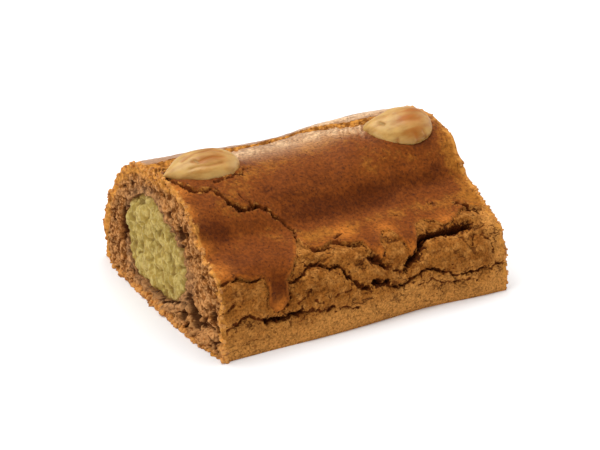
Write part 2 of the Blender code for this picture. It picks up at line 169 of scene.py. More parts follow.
# Where the crust is darker, or lighter below 0: partly the oven's browning, partly painted shade, as in the
# valley below the dome and on the dome's front, and painted light, as along the bottom edges: reach, amount,
# then (along the bar, girth) points.
BROWNING_AND_PAINTED_LIGHT = [
    (4.2, 1.1, [(-9, 39), (12, 39.6)]), (4.2, 0.9, [(14, 39.8), (24, 41.5), (35, 41.5)]),
    (3.2, 1.5, [(-46, 36), (-38, 37.4)]), (2.4, 0.4, [(-38, 37.4), (-26, 38), (-16, 38.6)]),
    (7.0, 0.55, [(-14, 47), (4, 46)]), (5.0, 0.5, [(-44, 26), (-26, 26)]), (4.0, 0.5, [(-46, 57), (-40, 66)]),
    (4.0, 0.4, [(-44, 17), (-26, 16)]), (3.0, -0.5, [(-44, 9), (-26, 9)]), (3.0, 0.35, [(2, 23), (12, 24)]),
    (3.0, -0.6, [(-14, 33), (0, 33), (20, 32.6), (44, 31)]), (4.0, -0.9, [(44, 2), (43, 24), (43, 60)]),
    (5.0, -0.5, [(-33, 45), (-27, 52)]), (4.0, -0.7, [(-22, 56), (-8, 60)]), (4.5, -0.7, [(2, 63), (15, 63)]),
    (4.5, 1.5, [(26, 58), (34, 53), (38, 60)]), (4.0, -0.35, [(14, 47), (34, 47)]),
    (5.5, -1.1, [(-46, 0.5), (46, 0.5)]), (4.0, -0.6, [(-14, 4), (14, 4)]),
    (2.5, -0.8, [(-14, 30), (0, 30.5)]), (2.0, -0.6, [(10, 8), (34, 8)]), (3.0, 0.7, [(-28, 18), (-28, 12)]),
    (4.0, 0.5, [(-44, 41), (-39, 47)]), (3.5, -0.25, [(-34, 32), (-20, 33)]),
    (4.0, -0.9, [(-46, 122), (46, 122)]), (7.0, 0.5, [(-34, 100), (-10, 96)]),
    (6.0, -0.5, [(6, 104), (30, 92)]), (5.0, 0.5, [(14, 80), (40, 84)]), (5.0, -0.5, [(-40, 82), (-20, 84)]),
]
# Where the skin shines along the top, in front of the ridge split and behind it: strength, then (along, girth).
SHINE = [(1.0, [(-20, 68), (-12, 70), (-2, 71.5), (8, 71), (16, 66.5), (24, 62.5)]),
         (1.7, [(12, 79), (24, 75), (44, 75)])]
# Holes in the left cut face, sunk in and darkened with painted shade: (Y, Z, radius, depth).
PORES = [
    (23.6, 19.0, 1.5, 2.2), (24.6, 15.2, 1.9, 3.0), (24.5, 11.6, 1.2, 2.0), (22.7, 22.8, 0.9, 1.4),
    (17.7, 30.4, 0.8, 1.0), (-14.6, 26.4, 1.6, 2.4), (-15.6, 21.8, 1.4, 2.0), (-8.0, 29.6, 0.8, 1.4),
    (-10.2, 28.0, 0.7, 1.3), (30.9, 15.1, 0.8, 1.0), (-22.3, 7.4, 1.9, 2.6), (-24.4, 5.2, 1.6, 2.4),
    (-17.0, 3.4, 1.2, 1.6), (-34.4, 10.4, 1.2, 2.0), (-19.0, 10.3, 1.1, 1.4), (-12.2, 1.8, 0.8, 1.2),
    (28.5, 20.5, 0.7, 1.0), (27.0, 8.5, 0.8, 1.0), (-30.5, 6.0, 1.0, 1.5), (-37.0, 5.2, 0.9, 1.4),
]

# Mesh density.
SKIN_SPACING = 0.34
TORN_GIRTH = 36.0  # the torn side ends below this
GIRTH_KNOTS = (0.0, TORN_GIRTH, 82.0)  # the torn side is finest, then the top, then the back and base
TORN_COLUMNS = 120
TOP_COLUMNS = 84
BACK_COLUMNS = 24
BASE_COLUMNS = 32
LEFT_CUT_ROWS = 48
RIGHT_CUT_ROWS = 12
CHANNEL_ROWS = 3
FINE_ROWS = 8  # rows of skin beside the left cut whose back and base are as fine as the front

# Each almond's centre, size, turns in degrees (roll to the front, tip down, heading), how blunt its tip is, and
# its folds: width, depth and (along, across) points, from its tip at + to its round end at -.
ALMONDS = {
    "almond_left": ((-33.0, -3.4, 39.4), (23.0, 12.8, 7.4), (-18, -1, 184), 0.0, [
        (0.45, 0.30, [(3.4, 0.6), (1.6, 1.6), (-0.5, 1.0), (-3.5, 0.4), (-7, 1.0)]),
        (0.45, 0.22, [(5.5, -1.2), (1, -2.6), (-4, -2.8), (-7.5, -1.6)]),
        (0.40, 0.18, [(5, 2.6), (0, 3.6), (-5, 3.2)]),
        (0.35, 0.45, [(2.6, 0.4), (2.2, 1.8)])]),
    "almond_right": ((30.9, -3.2, 40.1), (19.8, 14.4, 8.2), (-26, 6, 182), 1.0, [
        (0.8, 0.10, [(3, 0.5), (0, 0.8), (-5, 1.2), (-8, 0)]),
        (0.7, 0.09, [(1, -3), (-3, -2.6), (-7, -1.6)]),
        (0.7, 0.43, [(6.6, -1.6), (6.1, -0.6)]),
        (0.6, 0.20, [(4.4, 6.6), (4.2, 5.4)]),
        (0.7, 0.20, [(-1.6, 7.2), (-1.4, 5.8)]),
        (0.5, 0.18, [(-5.0, 6.6), (-4.6, 5.4)])]),
}

# The sockets that the almonds have pressed into the skin.
SOCKET_DEPTH = 2.2
SOCKET_SWELL = 0.35  # of the skin beside an almond
SOCKET_FLOOR = 25  # only skin higher than this is pressed down

# Broken rims, the ends of the paste and loose crumbs.
RIM_REACH = 1.4  # over which the rim's chips die away along the skin
SKIN_FOLLOW = 3.0  # how far along the bar the skin follows its cut face in or out
PASTE_SHORTER = 0.6  # than the bar, before its lumps
PASTE_LUMPS = 1.7  # mean height of the lumps on its ends
PASTE_STANDS_OUT = 0.9  # at most, past its solid
CRUMB_RADII = (0.25, 0.75)
CRUMB_SHARES = (0.85, 1.3, 0.55, 0.6, 1.0)  # of that: left rim, its foot, right rim, ridge, and the foot again
SEAM = 2e-6  # metres within which points are merged


# Shapes and noise.

def smooth_curve(points):
    """A smooth curve through the points, ends included."""
    points = np.asarray(points, float)
    padded = np.vstack([2 * points[0] - points[1], points, 2 * points[-1] - points[-2]])
    t = np.arange(CURVE_STEPS)[:, None] / CURVE_STEPS
    pieces = []
    for a, b, c, d in zip(padded, padded[1:], padded[2:], padded[3:]):
        pieces.append(0.5 * (2 * b + (c - a) * t + (2 * a - 5 * b + 4 * c - d) * t**2
                             + (3 * b - a - 3 * c + d) * t**3))
    return np.vstack([*pieces, points[-1:]])


def arc(curve):
    """The distance along a curve to each of its points."""
    return np.concatenate([[0], np.cumsum(np.linalg.norm(np.diff(curve, axis=0), axis=1))])


SECTIONS = [smooth_curve(section) for section in (LEFT_SECTION, MIDDLE_SECTION, RIGHT_SECTION)]
ARCS = [arc(curve) for curve in SECTIONS]
GIRTH = ARCS[1][-1]
FRONT_GIRTH = GIRTH_KNOTS[-1]
FRONT_COLUMNS = TORN_COLUMNS + TOP_COLUMNS
COLUMNS = FRONT_COLUMNS + BACK_COLUMNS + BASE_COLUMNS
STATIONS = round(BAR_LENGTH / SKIN_SPACING)
ROWS = LEFT_CUT_ROWS + STATIONS + RIGHT_CUT_ROWS + CHANNEL_ROWS


def ramp(value, low, high):
    """0 below low, 1 above high, and smooth between."""
    t = np.clip((value - low) / (high - low), 0, 1)
    return t * t * (3 - 2 * t)


def grain(points, size, salt=0.0):
    """Smooth noise between about -1 and 1 with features of that size, at (n, 2) or (n, 3) points."""
    scaled = np.asarray(points, float) / size
    if scaled.shape[1] == 2:
        scaled = np.column_stack([scaled, np.zeros(len(scaled))])
    scaled[:, -1] += salt
    return np.array([noise.noise(p) for p in scaled.tolist()])


def path_distance(points, path):
    """Each point's distance to an open path of straight runs."""
    nearest = np.full(len(points), np.inf)
    path = np.asarray(path, float)
    for start, end in zip(path, path[1:]):
        run = end - start
        t = np.clip((points - start) @ run / (run @ run), 0, 1)
        nearest = np.minimum(nearest, np.linalg.norm(points - start - t[:, None] * run, axis=1))
    return nearest


def inside(points, outline):
    """Which points lie inside a closed outline."""
    x, y = points.T
    within = np.zeros(len(points), bool)
    outline = np.asarray(outline, float)
    for (ax, ay), (bx, by) in zip(outline, np.roll(outline, -1, axis=0)):
        if ay != by:
            crosses = (ay > y) != (by > y)
            within ^= crosses & (x < (bx - ax) * (y - ay) / (by - ay) + ax)
    return within


def domes(points, centres, radii, heights):
    """The height over each point of the tallest of many round-topped grains, 0 between them."""
    top = np.zeros(len(points))
    for centre, radius, height in zip(centres, radii, heights):
        near = np.flatnonzero(np.abs(points[:, 0] - centre[0]) < radius)
        share = np.sum((points[near] - centre) ** 2, axis=1) / radius**2
        top[near] = np.maximum(top[near], height * np.sqrt(np.clip(1 - share, 0, 1)))
    return top


def scatter(rng, low, high, spacing):
    """Random places over a rectangle, one to each square of about that spacing."""
    low, high = np.asarray(low, float), np.asarray(high, float)
    counts = np.maximum(1, np.round((high - low) / spacing)).astype(int)
    across, up = np.meshgrid(np.arange(counts[0]), np.arange(counts[1]))
    cells = np.column_stack([across.ravel(), up.ravel()]) + rng.random((across.size, 2))
    return low + cells / counts * (high - low)


# The bar's surface.

def shares_at(x):
    """How much the left, middle and right sections count at x."""
    u = x / BAR_LENGTH
    return 2 * u * (u - 0.5), 1 - 4 * u * u, 2 * u * (u + 0.5)


def skin_at(x, column):
    """The bare skin at x for a column number: (Y, Z), the outward direction and the girth."""
    knots = [0, TORN_COLUMNS, FRONT_COLUMNS, FRONT_COLUMNS + BACK_COLUMNS]
    girth = np.interp(column, knots, [*GIRTH_KNOTS, GIRTH])
    place = np.interp(girth, ARCS[1], np.arange(len(ARCS[1])))
    points, slopes, reach, top = 0, 0, 0, 0
    for share, curve, along in zip(shares_at(x), SECTIONS, ARCS):
        steps = np.arange(len(curve))
        share = share[:, None]
        points = points + share * np.column_stack([np.interp(place, steps, curve[:, k]) for k in (0, 1)])
        slope = np.gradient(curve, axis=0)
        slopes = slopes + share * np.column_stack([np.interp(place, steps, slope[:, k]) for k in (0, 1)])
        reach = reach + share[:, 0] * np.interp(place, steps, along)
        top = top + share[:, 0] * curve[:, 1].max()
    foot = np.clip(1 - points[:, 1] / FOOT_HEIGHT, 0, 1) * (points[:, 0] < BASE_MIDDLE)
    rise = (points[:, 1] / top) ** 3
    points[:, 0] += foot * np.interp(x, *smooth_curve(FOOT_WAVE).T) - BASE_MIDDLE
    points[:, 1] += rise * np.interp(x, *smooth_curve(DOME_WAVE).T)
    outward = np.column_stack([-slopes[:, 1], slopes[:, 0]])
    outward /= np.linalg.norm(outward, axis=1)[:, None]
    return points, outward, reach


def crack_fields(skin):
    """At (along the bar, girth): how far inside a crack in millimetres, negative outside; how deep it is and how
    dark the painted shade in it is; how crumbly its banks are; and how far inside the ragged edge of the smooth
    skin."""
    outline = SKIN_EDGE + [(48, -60), (-48, -60)]
    edge = path_distance(skin, SKIN_EDGE) * np.where(inside(skin, outline), -1, 1)
    edge += 0.3 * grain(skin, 1.6, 8) + 0.25 * grain(skin, 0.7, 9)
    jag = 0.3 * grain(skin, 2.3) + 0.42 * grain(skin, 1.1, 5) + 0.36 * grain(skin, 0.62, 9)
    skin = skin + 0.75 * np.column_stack([grain(skin, 2.4, 11), grain(skin, 2.4, 12)])
    skin += 0.5 * np.column_stack([grain(skin, 1.0, 13), grain(skin, 1.0, 14)])
    patchy = ramp(grain(skin, 1.9, 15) + 0.6 * grain(skin, 0.9, 16), -0.35, 0.2)
    opened = np.full(len(skin), -9.0)
    depth, dark, crumbly = np.zeros((3, len(skin)))
    for number, (half_width, deepest, darkness, path) in enumerate(CRACKS.values()):
        away = path_distance(skin, path)
        rough = jag * min(1.0, 0.35 + half_width)
        room = half_width * (1.05 + 0.6 * grain(skin, 3.0, 20 + number)) - away + rough
        opened = np.maximum(opened, room)
        share = ramp(room, -0.1, 0.6 * half_width + 0.2)
        open_patch = darkness**8 + (1 - darkness**8) * patchy
        depth = np.maximum(depth, deepest * share * (0.35 + 0.65 * open_patch))
        dark = np.maximum(dark, share * (0.15 + 0.85 * darkness * open_patch))
        bank = np.exp(-np.maximum(away - half_width, 0) / 0.95)
        crumbly = np.maximum(crumbly, min(1.0, half_width / 0.6) * bank)
    return opened, depth, dark, crumbly, edge


def plate_fields(skin):
    """The crust's break-up into plates: each point's distance to the line between two, and its plate's rise."""
    warped = skin + 1.3 * np.column_stack([grain(skin, 2.2, 70), grain(skin, 2.2, 71)])
    warped += 0.5 * np.column_stack([grain(skin, 0.9, 72), grain(skin, 0.9, 73)])
    line, rise = np.empty(len(skin)), np.empty(len(skin))
    for number, (along, up) in enumerate((warped / (7.5, 4.2)).tolist()):
        distances, places = noise.voronoi((along, up, 0.5))
        line[number] = (distances[1] - distances[0]) * 2.6
        rise[number] = noise.cell(places[0] * 37.0)
    return line, rise


def dress_skin(x, column):
    """The baked skin with its relief: (Y, Z) points, the outward direction, the girth and the finish fields."""
    points, outward, girth = skin_at(x, column)
    skin = np.column_stack([x, girth])
    spot = np.column_stack([x, points])
    opened, depth, dark, crumbly, edge = crack_fields(skin)
    torn = ramp(-edge, -0.1, 0.45) * ramp(FRONT_GIRTH - girth, 0, 5)
    below = np.maximum(-edge, 0)
    line, rise = np.full(len(x), 9.0), np.full(len(x), 0.5)
    rough_side = torn > 0
    line[rough_side], rise[rough_side] = plate_fields(skin[rough_side])
    broken = torn * ramp(grain(skin, 4, 75), -0.1, 0.25) * ramp(girth, 2, 5)
    crumbly = np.maximum(crumbly * (0.35 + 0.65 * torn), 0.9 * torn * np.exp(-below / 0.85))
    crumbly *= ramp(grain(skin, 3, 77), -0.6, 0.2)
    rubble = 0.6 * grain(spot, 1.3, 5) + 0.8 * grain(spot, 0.75, 6)

    relief = 0.34 * grain(spot, 9) + 0.16 * grain(spot, 4, 3) + 0.05 * grain(spot, 1.3, 8)
    # The skin curls up at its edge.
    relief += 0.2 * np.exp(-((edge - 0.7) / 0.7) ** 2) * ramp(TORN_GIRTH - girth, 0, 4)
    relief -= 0.95 * torn * (0.35 + 0.65 * np.exp(-below / 4))
    relief += torn * (0.65 * ramp(-opened, 0, 2.4) + (0.12 + 0.2 * crumbly) * grain(spot, 2.8, 4))
    relief += broken * (0.35 * (rise - 0.5) - 0.3 * ramp(0.3 - line, 0, 0.3))
    relief += crumbly * (0.3 * rubble - 0.2)
    flake = inside(skin + 0.5 * grain(skin, 1.5)[:, None], FLAKE).astype(float)
    relief = relief * (1 - 0.75 * flake) + 0.35 * flake
    relief += 0.16 * np.exp(-np.abs(opened) / 0.7) * (opened < 0) * (depth < 0.1) * ramp(edge, 0, 1)
    relief -= depth * (1 + 0.3 * grain(spot, 0.9, 7))
    relief *= ramp(girth, 0, 1.6) * ramp(GIRTH - girth, 0, 3)
    points = points + relief[:, None] * outward
    toast = np.zeros(len(x))
    for along, up, radius in TOASTED_AND_PAINTED_LIGHT:
        toast = np.maximum(toast, np.exp(-((x - along) ** 2 + (girth - up) ** 2) / radius**2))
    # A painted highlight: an orange line along the skin's broken edge.
    toast = np.maximum(toast, 0.4 * np.exp(-(((edge - 0.35) / 0.4) ** 2)) * ramp(TORN_GIRTH - girth, 0, 4))
    # Browning mixed with painted shade and painted light, from the table of where the crust is darker or
    # lighter.
    brown_and_painted_light = np.zeros(len(x))
    for reach, amount, path in BROWNING_AND_PAINTED_LIGHT:
        brown_and_painted_light += amount * np.exp(-((path_distance(skin, path) / reach) ** 2))
    # Painted shade: dark in the cracks, in the low spots of crumbly banks and in a band just under the skin's
    # broken edge.
    shade_in_hollows = np.maximum(dark, crumbly * ramp(-rubble, 0.1, 0.7) * 0.5)
    under_edge = torn * np.exp(-((below - 0.35) / 0.55) ** 2) * ramp(grain(skin, 2.1, 18), -0.45, 0.15)
    shade_in_hollows = np.maximum(shade_in_hollows, 0.6 * under_edge)
    shade_in_hollows *= 1 - 0.8 * flake * (opened < 0)
    hair = line + 3 * (1 - broken)
    shine = np.zeros(len(x))
    for strength, path in SHINE:
        shine = np.maximum(shine, strength * np.exp(-((path_distance(skin, path) / 3.8) ** 2)))
    return points, outward, girth, dict(opened=opened, edge=edge, crumbly=crumbly, shade_in_hollows=shade_in_hollows,
                                        hair=hair, toast=toast, brown_and_painted_light=brown_and_painted_light, shine=shine)


def almond_socket(x, points):
    """How far the skin at x is pressed down under the almonds, and how far it swells up beside them."""
    drop = np.zeros(len(x))
    for centre, size, turns, _, _ in ALMONDS.values():
        heading = math.radians(turns[2])
        along = (x - centre[0]) * math.cos(heading) + (points[:, 0] - centre[1]) * math.sin(heading)
        across = -(x - centre[0]) * math.sin(heading) + (points[:, 0] - centre[1]) * math.cos(heading)
        taper = 1 - 0.32 * np.clip(2 * along / size[0], 0, 1) ** 1.5
        reach = np.sqrt((2 * along / size[0]) ** 2 + (2 * across / (size[1] * 0.92 * taper)) ** 2)
        top = points[:, 1] > SOCKET_FLOOR
        beside = np.exp(-((reach - 1.13) / 0.09) ** 2)
        drop += top * (SOCKET_SWELL * beside - SOCKET_DEPTH * ramp(1.0 - reach, 0.0, 0.25))
    return drop


def paste_reach(angle, gap=0.0):
    """The paste's reach from its centre at that angle."""
    c, s = np.cos(angle), np.sin(angle)
    power = np.where(s > 0, PASTE_CROWN_SQUARENESS, PASTE_FLOOR_SQUARENESS)
    wide, tall = PASTE_HALF_WIDTH - gap, PASTE_HALF_HEIGHT - gap
    reach = (np.abs(c / wide) ** power + np.abs(s / tall) ** power) ** (-1 / power)
    off = (angle % (2 * math.pi) - PASTE_DENT_ANGLE) / PASTE_DENT_SPREAD
    return reach * (1 - PASTE_DENT * np.exp(-off * off))


def paste_wobble(angle, side):
    """How much further out the torn mouth of the channel is at an angle, at the left (-1) or right (1) cut."""
    ring = np.column_stack([np.cos(angle), np.sin(angle)]) * 10
    return 0.5 * grain(ring, 4, 30 + side) + 0.4 * grain(ring, 1.6, 40 + side) - 0.55


def cut_bulge(points, side):
    """How far a cut face swells out at (Y, Z)."""
    height = np.clip(points[:, 1] / SWELL_HEIGHT, 0, 1)
    if side < 0:
        return LEFT_CUT_BULGE * (1 - height) ** 2 * (1 - (points[:, 0] / BASE_MIDDLE) ** 4)
    return RIGHT_CUT_BULGE * height


def crumb_relief(points, inward, side):
    """How far the torn crumb of a cut face is sunk at (Y, Z), how much painted shade its sunken spots and pores
    get and how much of a lump, both from 0 to 1. It is calmest at the rim, where inward, the distance from the
    rim, is 0."""
    rng = np.random.default_rng(SEED + side)
    places = scatter(rng, (-41, 0), (42, 42), 1.25)
    sizes = rng.uniform(0.35, 1.4, len(places))
    crumbs = domes(points + 0.35 * grain(points, 0.9, 50)[:, None], places, sizes, sizes * 0.8)
    sunk = 0.7 * grain(points, 2.4, side + 3) + 0.15 * grain(points, 0.9, side + 5) - 0.8 * crumbs + 0.45
    chunky = ramp(11 - points[:, 1], 0, 6) * ramp(-points[:, 0], -12, 6)  # the crumbly foot at the front
    places = scatter(rng, (-41, 0), (20, 14), 2.1)
    sizes = rng.uniform(0.7, 1.8, len(places))
    chunks = domes(points + 0.5 * grain(points, 1.4, 51)[:, None], places, sizes, sizes * 0.9)
    sunk += chunky * (1.6 - 1.7 * chunks + 0.5 * grain(points, 2.2, 60))
    lump = np.clip(crumbs + chunky * (chunks - 0.3), 0, 1)
    holes = 0.8 * ramp(grain(points, 1.3, 80 + side), 0.3, 0.55)
    holes += 1.1 * ramp(grain(points, 2.6, 85 + side), 0.3, 0.5)
    sunk += holes
    pore = np.zeros(len(points))
    if side < 0:
        for y, z, radius, depth in PORES:
            radius = 1.3 * radius
            uneven = 0.55 * radius * grain(points, 1.2 * radius, y)
            away = np.hypot(points[:, 0] - y, points[:, 1] - z) + uneven
            share = ramp(1.25 - away / radius, 0, 0.6)
            sunk += depth * share
            pore = np.maximum(pore, share)
    settled = 0.25 + 0.5 * grain(points, 3.4, side)
    low = ramp(5 - points[:, 1], 0, 4)
    settled += low * (0.8 * grain(points, 1.7, side + 9) + 0.5 * grain(points, 0.9, side + 10) - 0.1)
    inset = ramp(inward, 0.0, 1.6)
    return settled + inset * np.maximum(sunk, -0.9), np.maximum(ramp(sunk, 0.4, 1.3) * inset, pore), lump


def rim_chip(points, x, side):
    """How far crumbs stand out from the rim of a cut, or gaps sink in."""
    ring = np.column_stack([points, 0.6 * x + side * 50.0])
    wild = ramp(grain(ring, 6, 90), -0.4, 0.5)
    return 0.5 * grain(ring, 4.0, 91) + wild * (0.8 * grain(ring, 1.7, 92) + 0.7 * np.abs(grain(ring, 1.1, 93)))


def log_surface(row, column):
    """The dough at fractional row and column numbers: (X, Y, Z) points in millimetres and the finish fields.
    Rows run up the left cut face, along the skin, down the right cut face and back through the channel."""
    count = len(row)
    skin_end = LEFT_CUT_ROWS + STATIONS
    cut_end = skin_end + RIGHT_CUT_ROWS
    x = np.interp(row, [LEFT_CUT_ROWS, skin_end], [-BAR_LENGTH / 2, BAR_LENGTH / 2])
    outer, outward, girth, fields = dress_skin(x, column)
    on_base = column > FRONT_COLUMNS + BACK_COLUMNS
    base = np.clip((column - FRONT_COLUMNS - BACK_COLUMNS) / BASE_COLUMNS, 0, 1)
    back, _, _ = skin_at(x, np.full(count, float(FRONT_COLUMNS + BACK_COLUMNS)))
    front, _, _ = skin_at(x, np.zeros(count))
    outer = np.where(on_base[:, None], (1 - base)[:, None] * back + base[:, None] * front, outer)
    outward[on_base] = (0, -1)
    for name, value in (("opened", -9.0), ("edge", 3.0), ("hair", 9.0)):
        fields[name][on_base] = value
    for name in ("crumbly", "shade_in_hollows", "toast", "brown_and_painted_light", "shine"):
        fields[name][on_base] = 0
    girth = np.where(on_base, -5.0, girth)

    outer[:, 1] += np.where(on_base, 0, almond_socket(x, outer))
    for side in (-1, 1):
        near = np.exp(-np.abs(x - side * BAR_LENGTH / 2) / RIM_REACH) * ~on_base
        outer += (near * rim_chip(outer, x, side))[:, None] * outward
    outer[:, 1] = np.maximum(outer[:, 1], 0)

    centre = outer - PASTE_CENTRE
    angle = np.arctan2(centre[:, 1], centre[:, 0])
    left = (row < (LEFT_CUT_ROWS + skin_end) / 2) | (row > ROWS - 0.5)
    mouth = np.where(left, paste_wobble(angle, -1), paste_wobble(angle, 1))
    ray = np.column_stack([np.cos(angle), np.sin(angle)])
    channel = PASTE_CENTRE + (paste_reach(angle) + mouth)[:, None] * ray
    share = np.interp(row, [0, LEFT_CUT_ROWS, skin_end, cut_end, ROWS], [1, 0, 0, 1, 1])[:, None]
    points = (1 - share) * outer + share * channel
    through = row > cut_end
    x[through] = np.interp(row[through], [cut_end, ROWS], [BAR_LENGTH / 2, -BAR_LENGTH / 2])
    on_cut, lump = np.zeros((2, count))
    inward = np.linalg.norm(points - outer, axis=1)
    for side, face in ((-1, (row <= LEFT_CUT_ROWS) | (row > ROWS - 0.01)),
                       (1, (row >= skin_end) & (row <= cut_end))):
        sunk, shade_in_hollows, lump[face] = crumb_relief(points[face], inward[face], side)
        x[face] = side * (BAR_LENGTH / 2 + cut_bulge(points[face], side) - sunk)
        fields["shade_in_hollows"][face] = np.maximum(fields["shade_in_hollows"][face] * (row[face] == LEFT_CUT_ROWS), shade_in_hollows)
        on_cut[face] = 1
        # The skin beside the cut follows the rim in or out.
        strip = ~on_cut.astype(bool) & (np.abs(x - side * BAR_LENGTH / 2) < SKIN_FOLLOW) & ~through
        sunk, _, _ = crumb_relief(outer[strip], np.zeros(strip.sum()), side)
        shift = side * (cut_bulge(outer[strip], side) - sunk)
        x[strip] += shift * (1 - np.abs(x[strip] - side * BAR_LENGTH / 2) / SKIN_FOLLOW) ** 2
    fields["cut"] = on_cut
    fields["inward"] = np.where(on_cut > 0, inward, 0.0)
    fields["lump"] = lump
    # The front wall is damp further out.
    moist = 1 + 1.2 * ramp(-points[:, 0], 6, 18) * ramp(points[:, 1], 3, 9) * ramp(24 - points[:, 1], 0, 7)
    fields["mouth"] = np.linalg.norm(points - channel, axis=1) / moist
    fields["from_cut"] = np.where(on_cut > 0, 0.0, np.minimum(x + BAR_LENGTH / 2, BAR_LENGTH / 2 - x))
    fields["girth"] = girth
    return np.column_stack([x + CUT_MIDDLE, points]), fields


# Finishes.

class Finish:
    """Builds one material's nodes from short calls, each of which returns an output socket."""

    def __init__(self, name, roughness):
        self.material = bpy.data.materials.new(name)
        self.material.use_nodes = True
        self.tree = self.material.node_tree
        self.shader = self.tree.nodes["Principled BSDF"]
        self.shader.inputs["Roughness"].default_value = roughness
        self.place = self.tree.nodes.new("ShaderNodeTexCoord").outputs["Object"]

    def node(self, kind, values, **settings):
        """A node with those settings whose inputs, by name or number, are linked or set."""
        made = self.tree.nodes.new(kind)
        for key, value in settings.items():
            setattr(made, key, value)
        for key, value in values.items():
            if isinstance(value, bpy.types.NodeSocket):
                self.tree.links.new(value, made.inputs[key])
            else:
                made.inputs[key].default_value = value
        return made

    def field(self, name):
        """A number stored on the mesh's points."""
        return self.node("ShaderNodeAttribute", {}, attribute_name=name).outputs["Fac"]

    def maths(self, operation, *values):
        """One step of arithmetic on sockets and numbers."""
        return self.node("ShaderNodeMath", dict(enumerate(values)), operation=operation).outputs[0]

    def speckle(self, size, detail=2.0, stretch=(1, 1, 1), offset=0.0, turn=0.0):
        """Noise from 0 to 1 with features of that size in millimetres, turned about Z, then stretched."""
        place = self.place
        if turn:
            place = self.node("ShaderNodeMapping", {"Vector": place, "Rotation": (0, 0, turn)}).outputs[0]
        place = self.node("ShaderNodeMapping", {"Vector": place, "Location": (offset, offset, offset),
                                                "Scale": tuple(1 / s for s in stretch)}).outputs[0]
        values = {"Vector": place, "Scale": 1000 / size, "Detail": detail}
        return self.node("ShaderNodeTexNoise", values).outputs["Fac"]

    def between(self, value, low, high, out_low=0.0, out_high=1.0):
        """A smooth step of a value from out_low to out_high."""
        values = {"Value": value, 1: low, 2: high, 3: out_low, 4: out_high}
        return self.node("ShaderNodeMapRange", values, interpolation_type="SMOOTHSTEP").outputs[0]

    def mix(self, share, low, high):
        """Two colours mixed by a share."""
        made = self.node("ShaderNodeMix", {0: share}, data_type="RGBA")
        for socket, value in ((made.inputs[6], low), (made.inputs[7], high)):
            if isinstance(value, bpy.types.NodeSocket):
                self.tree.links.new(value, socket)
            else:
                socket.default_value = (*value, 1.0)
        return made.outputs[2]

    def dapple(self, colour, size, low, high, offset=0.0):
        """A colour made darker and lighter, from low to high times, by spots of that size."""
        value = self.between(self.speckle(size, 2, offset=offset), 0.32, 0.68, low, high)
        made = self.node("ShaderNodeVectorMath", {0: colour, "Scale": value}, operation="SCALE")
        return made.outputs[0]

    def bump(self, height, distance, strength=1.0, under=None):
        """A bump of a height from 0 to 1 over that many millimetres, on top of another."""
        values = {"Height": height, "Distance": distance * MM, "Strength": strength}
        if under is not None:
            values["Normal"] = under
        return self.node("ShaderNodeBump", values).outputs["Normal"]

    def wear(self, **sockets):
        """Links sockets to the shader's inputs by name, with _ for a space."""
        for name, socket in sockets.items():
            self.tree.links.new(socket, self.shader.inputs[name.replace("_", " ")])


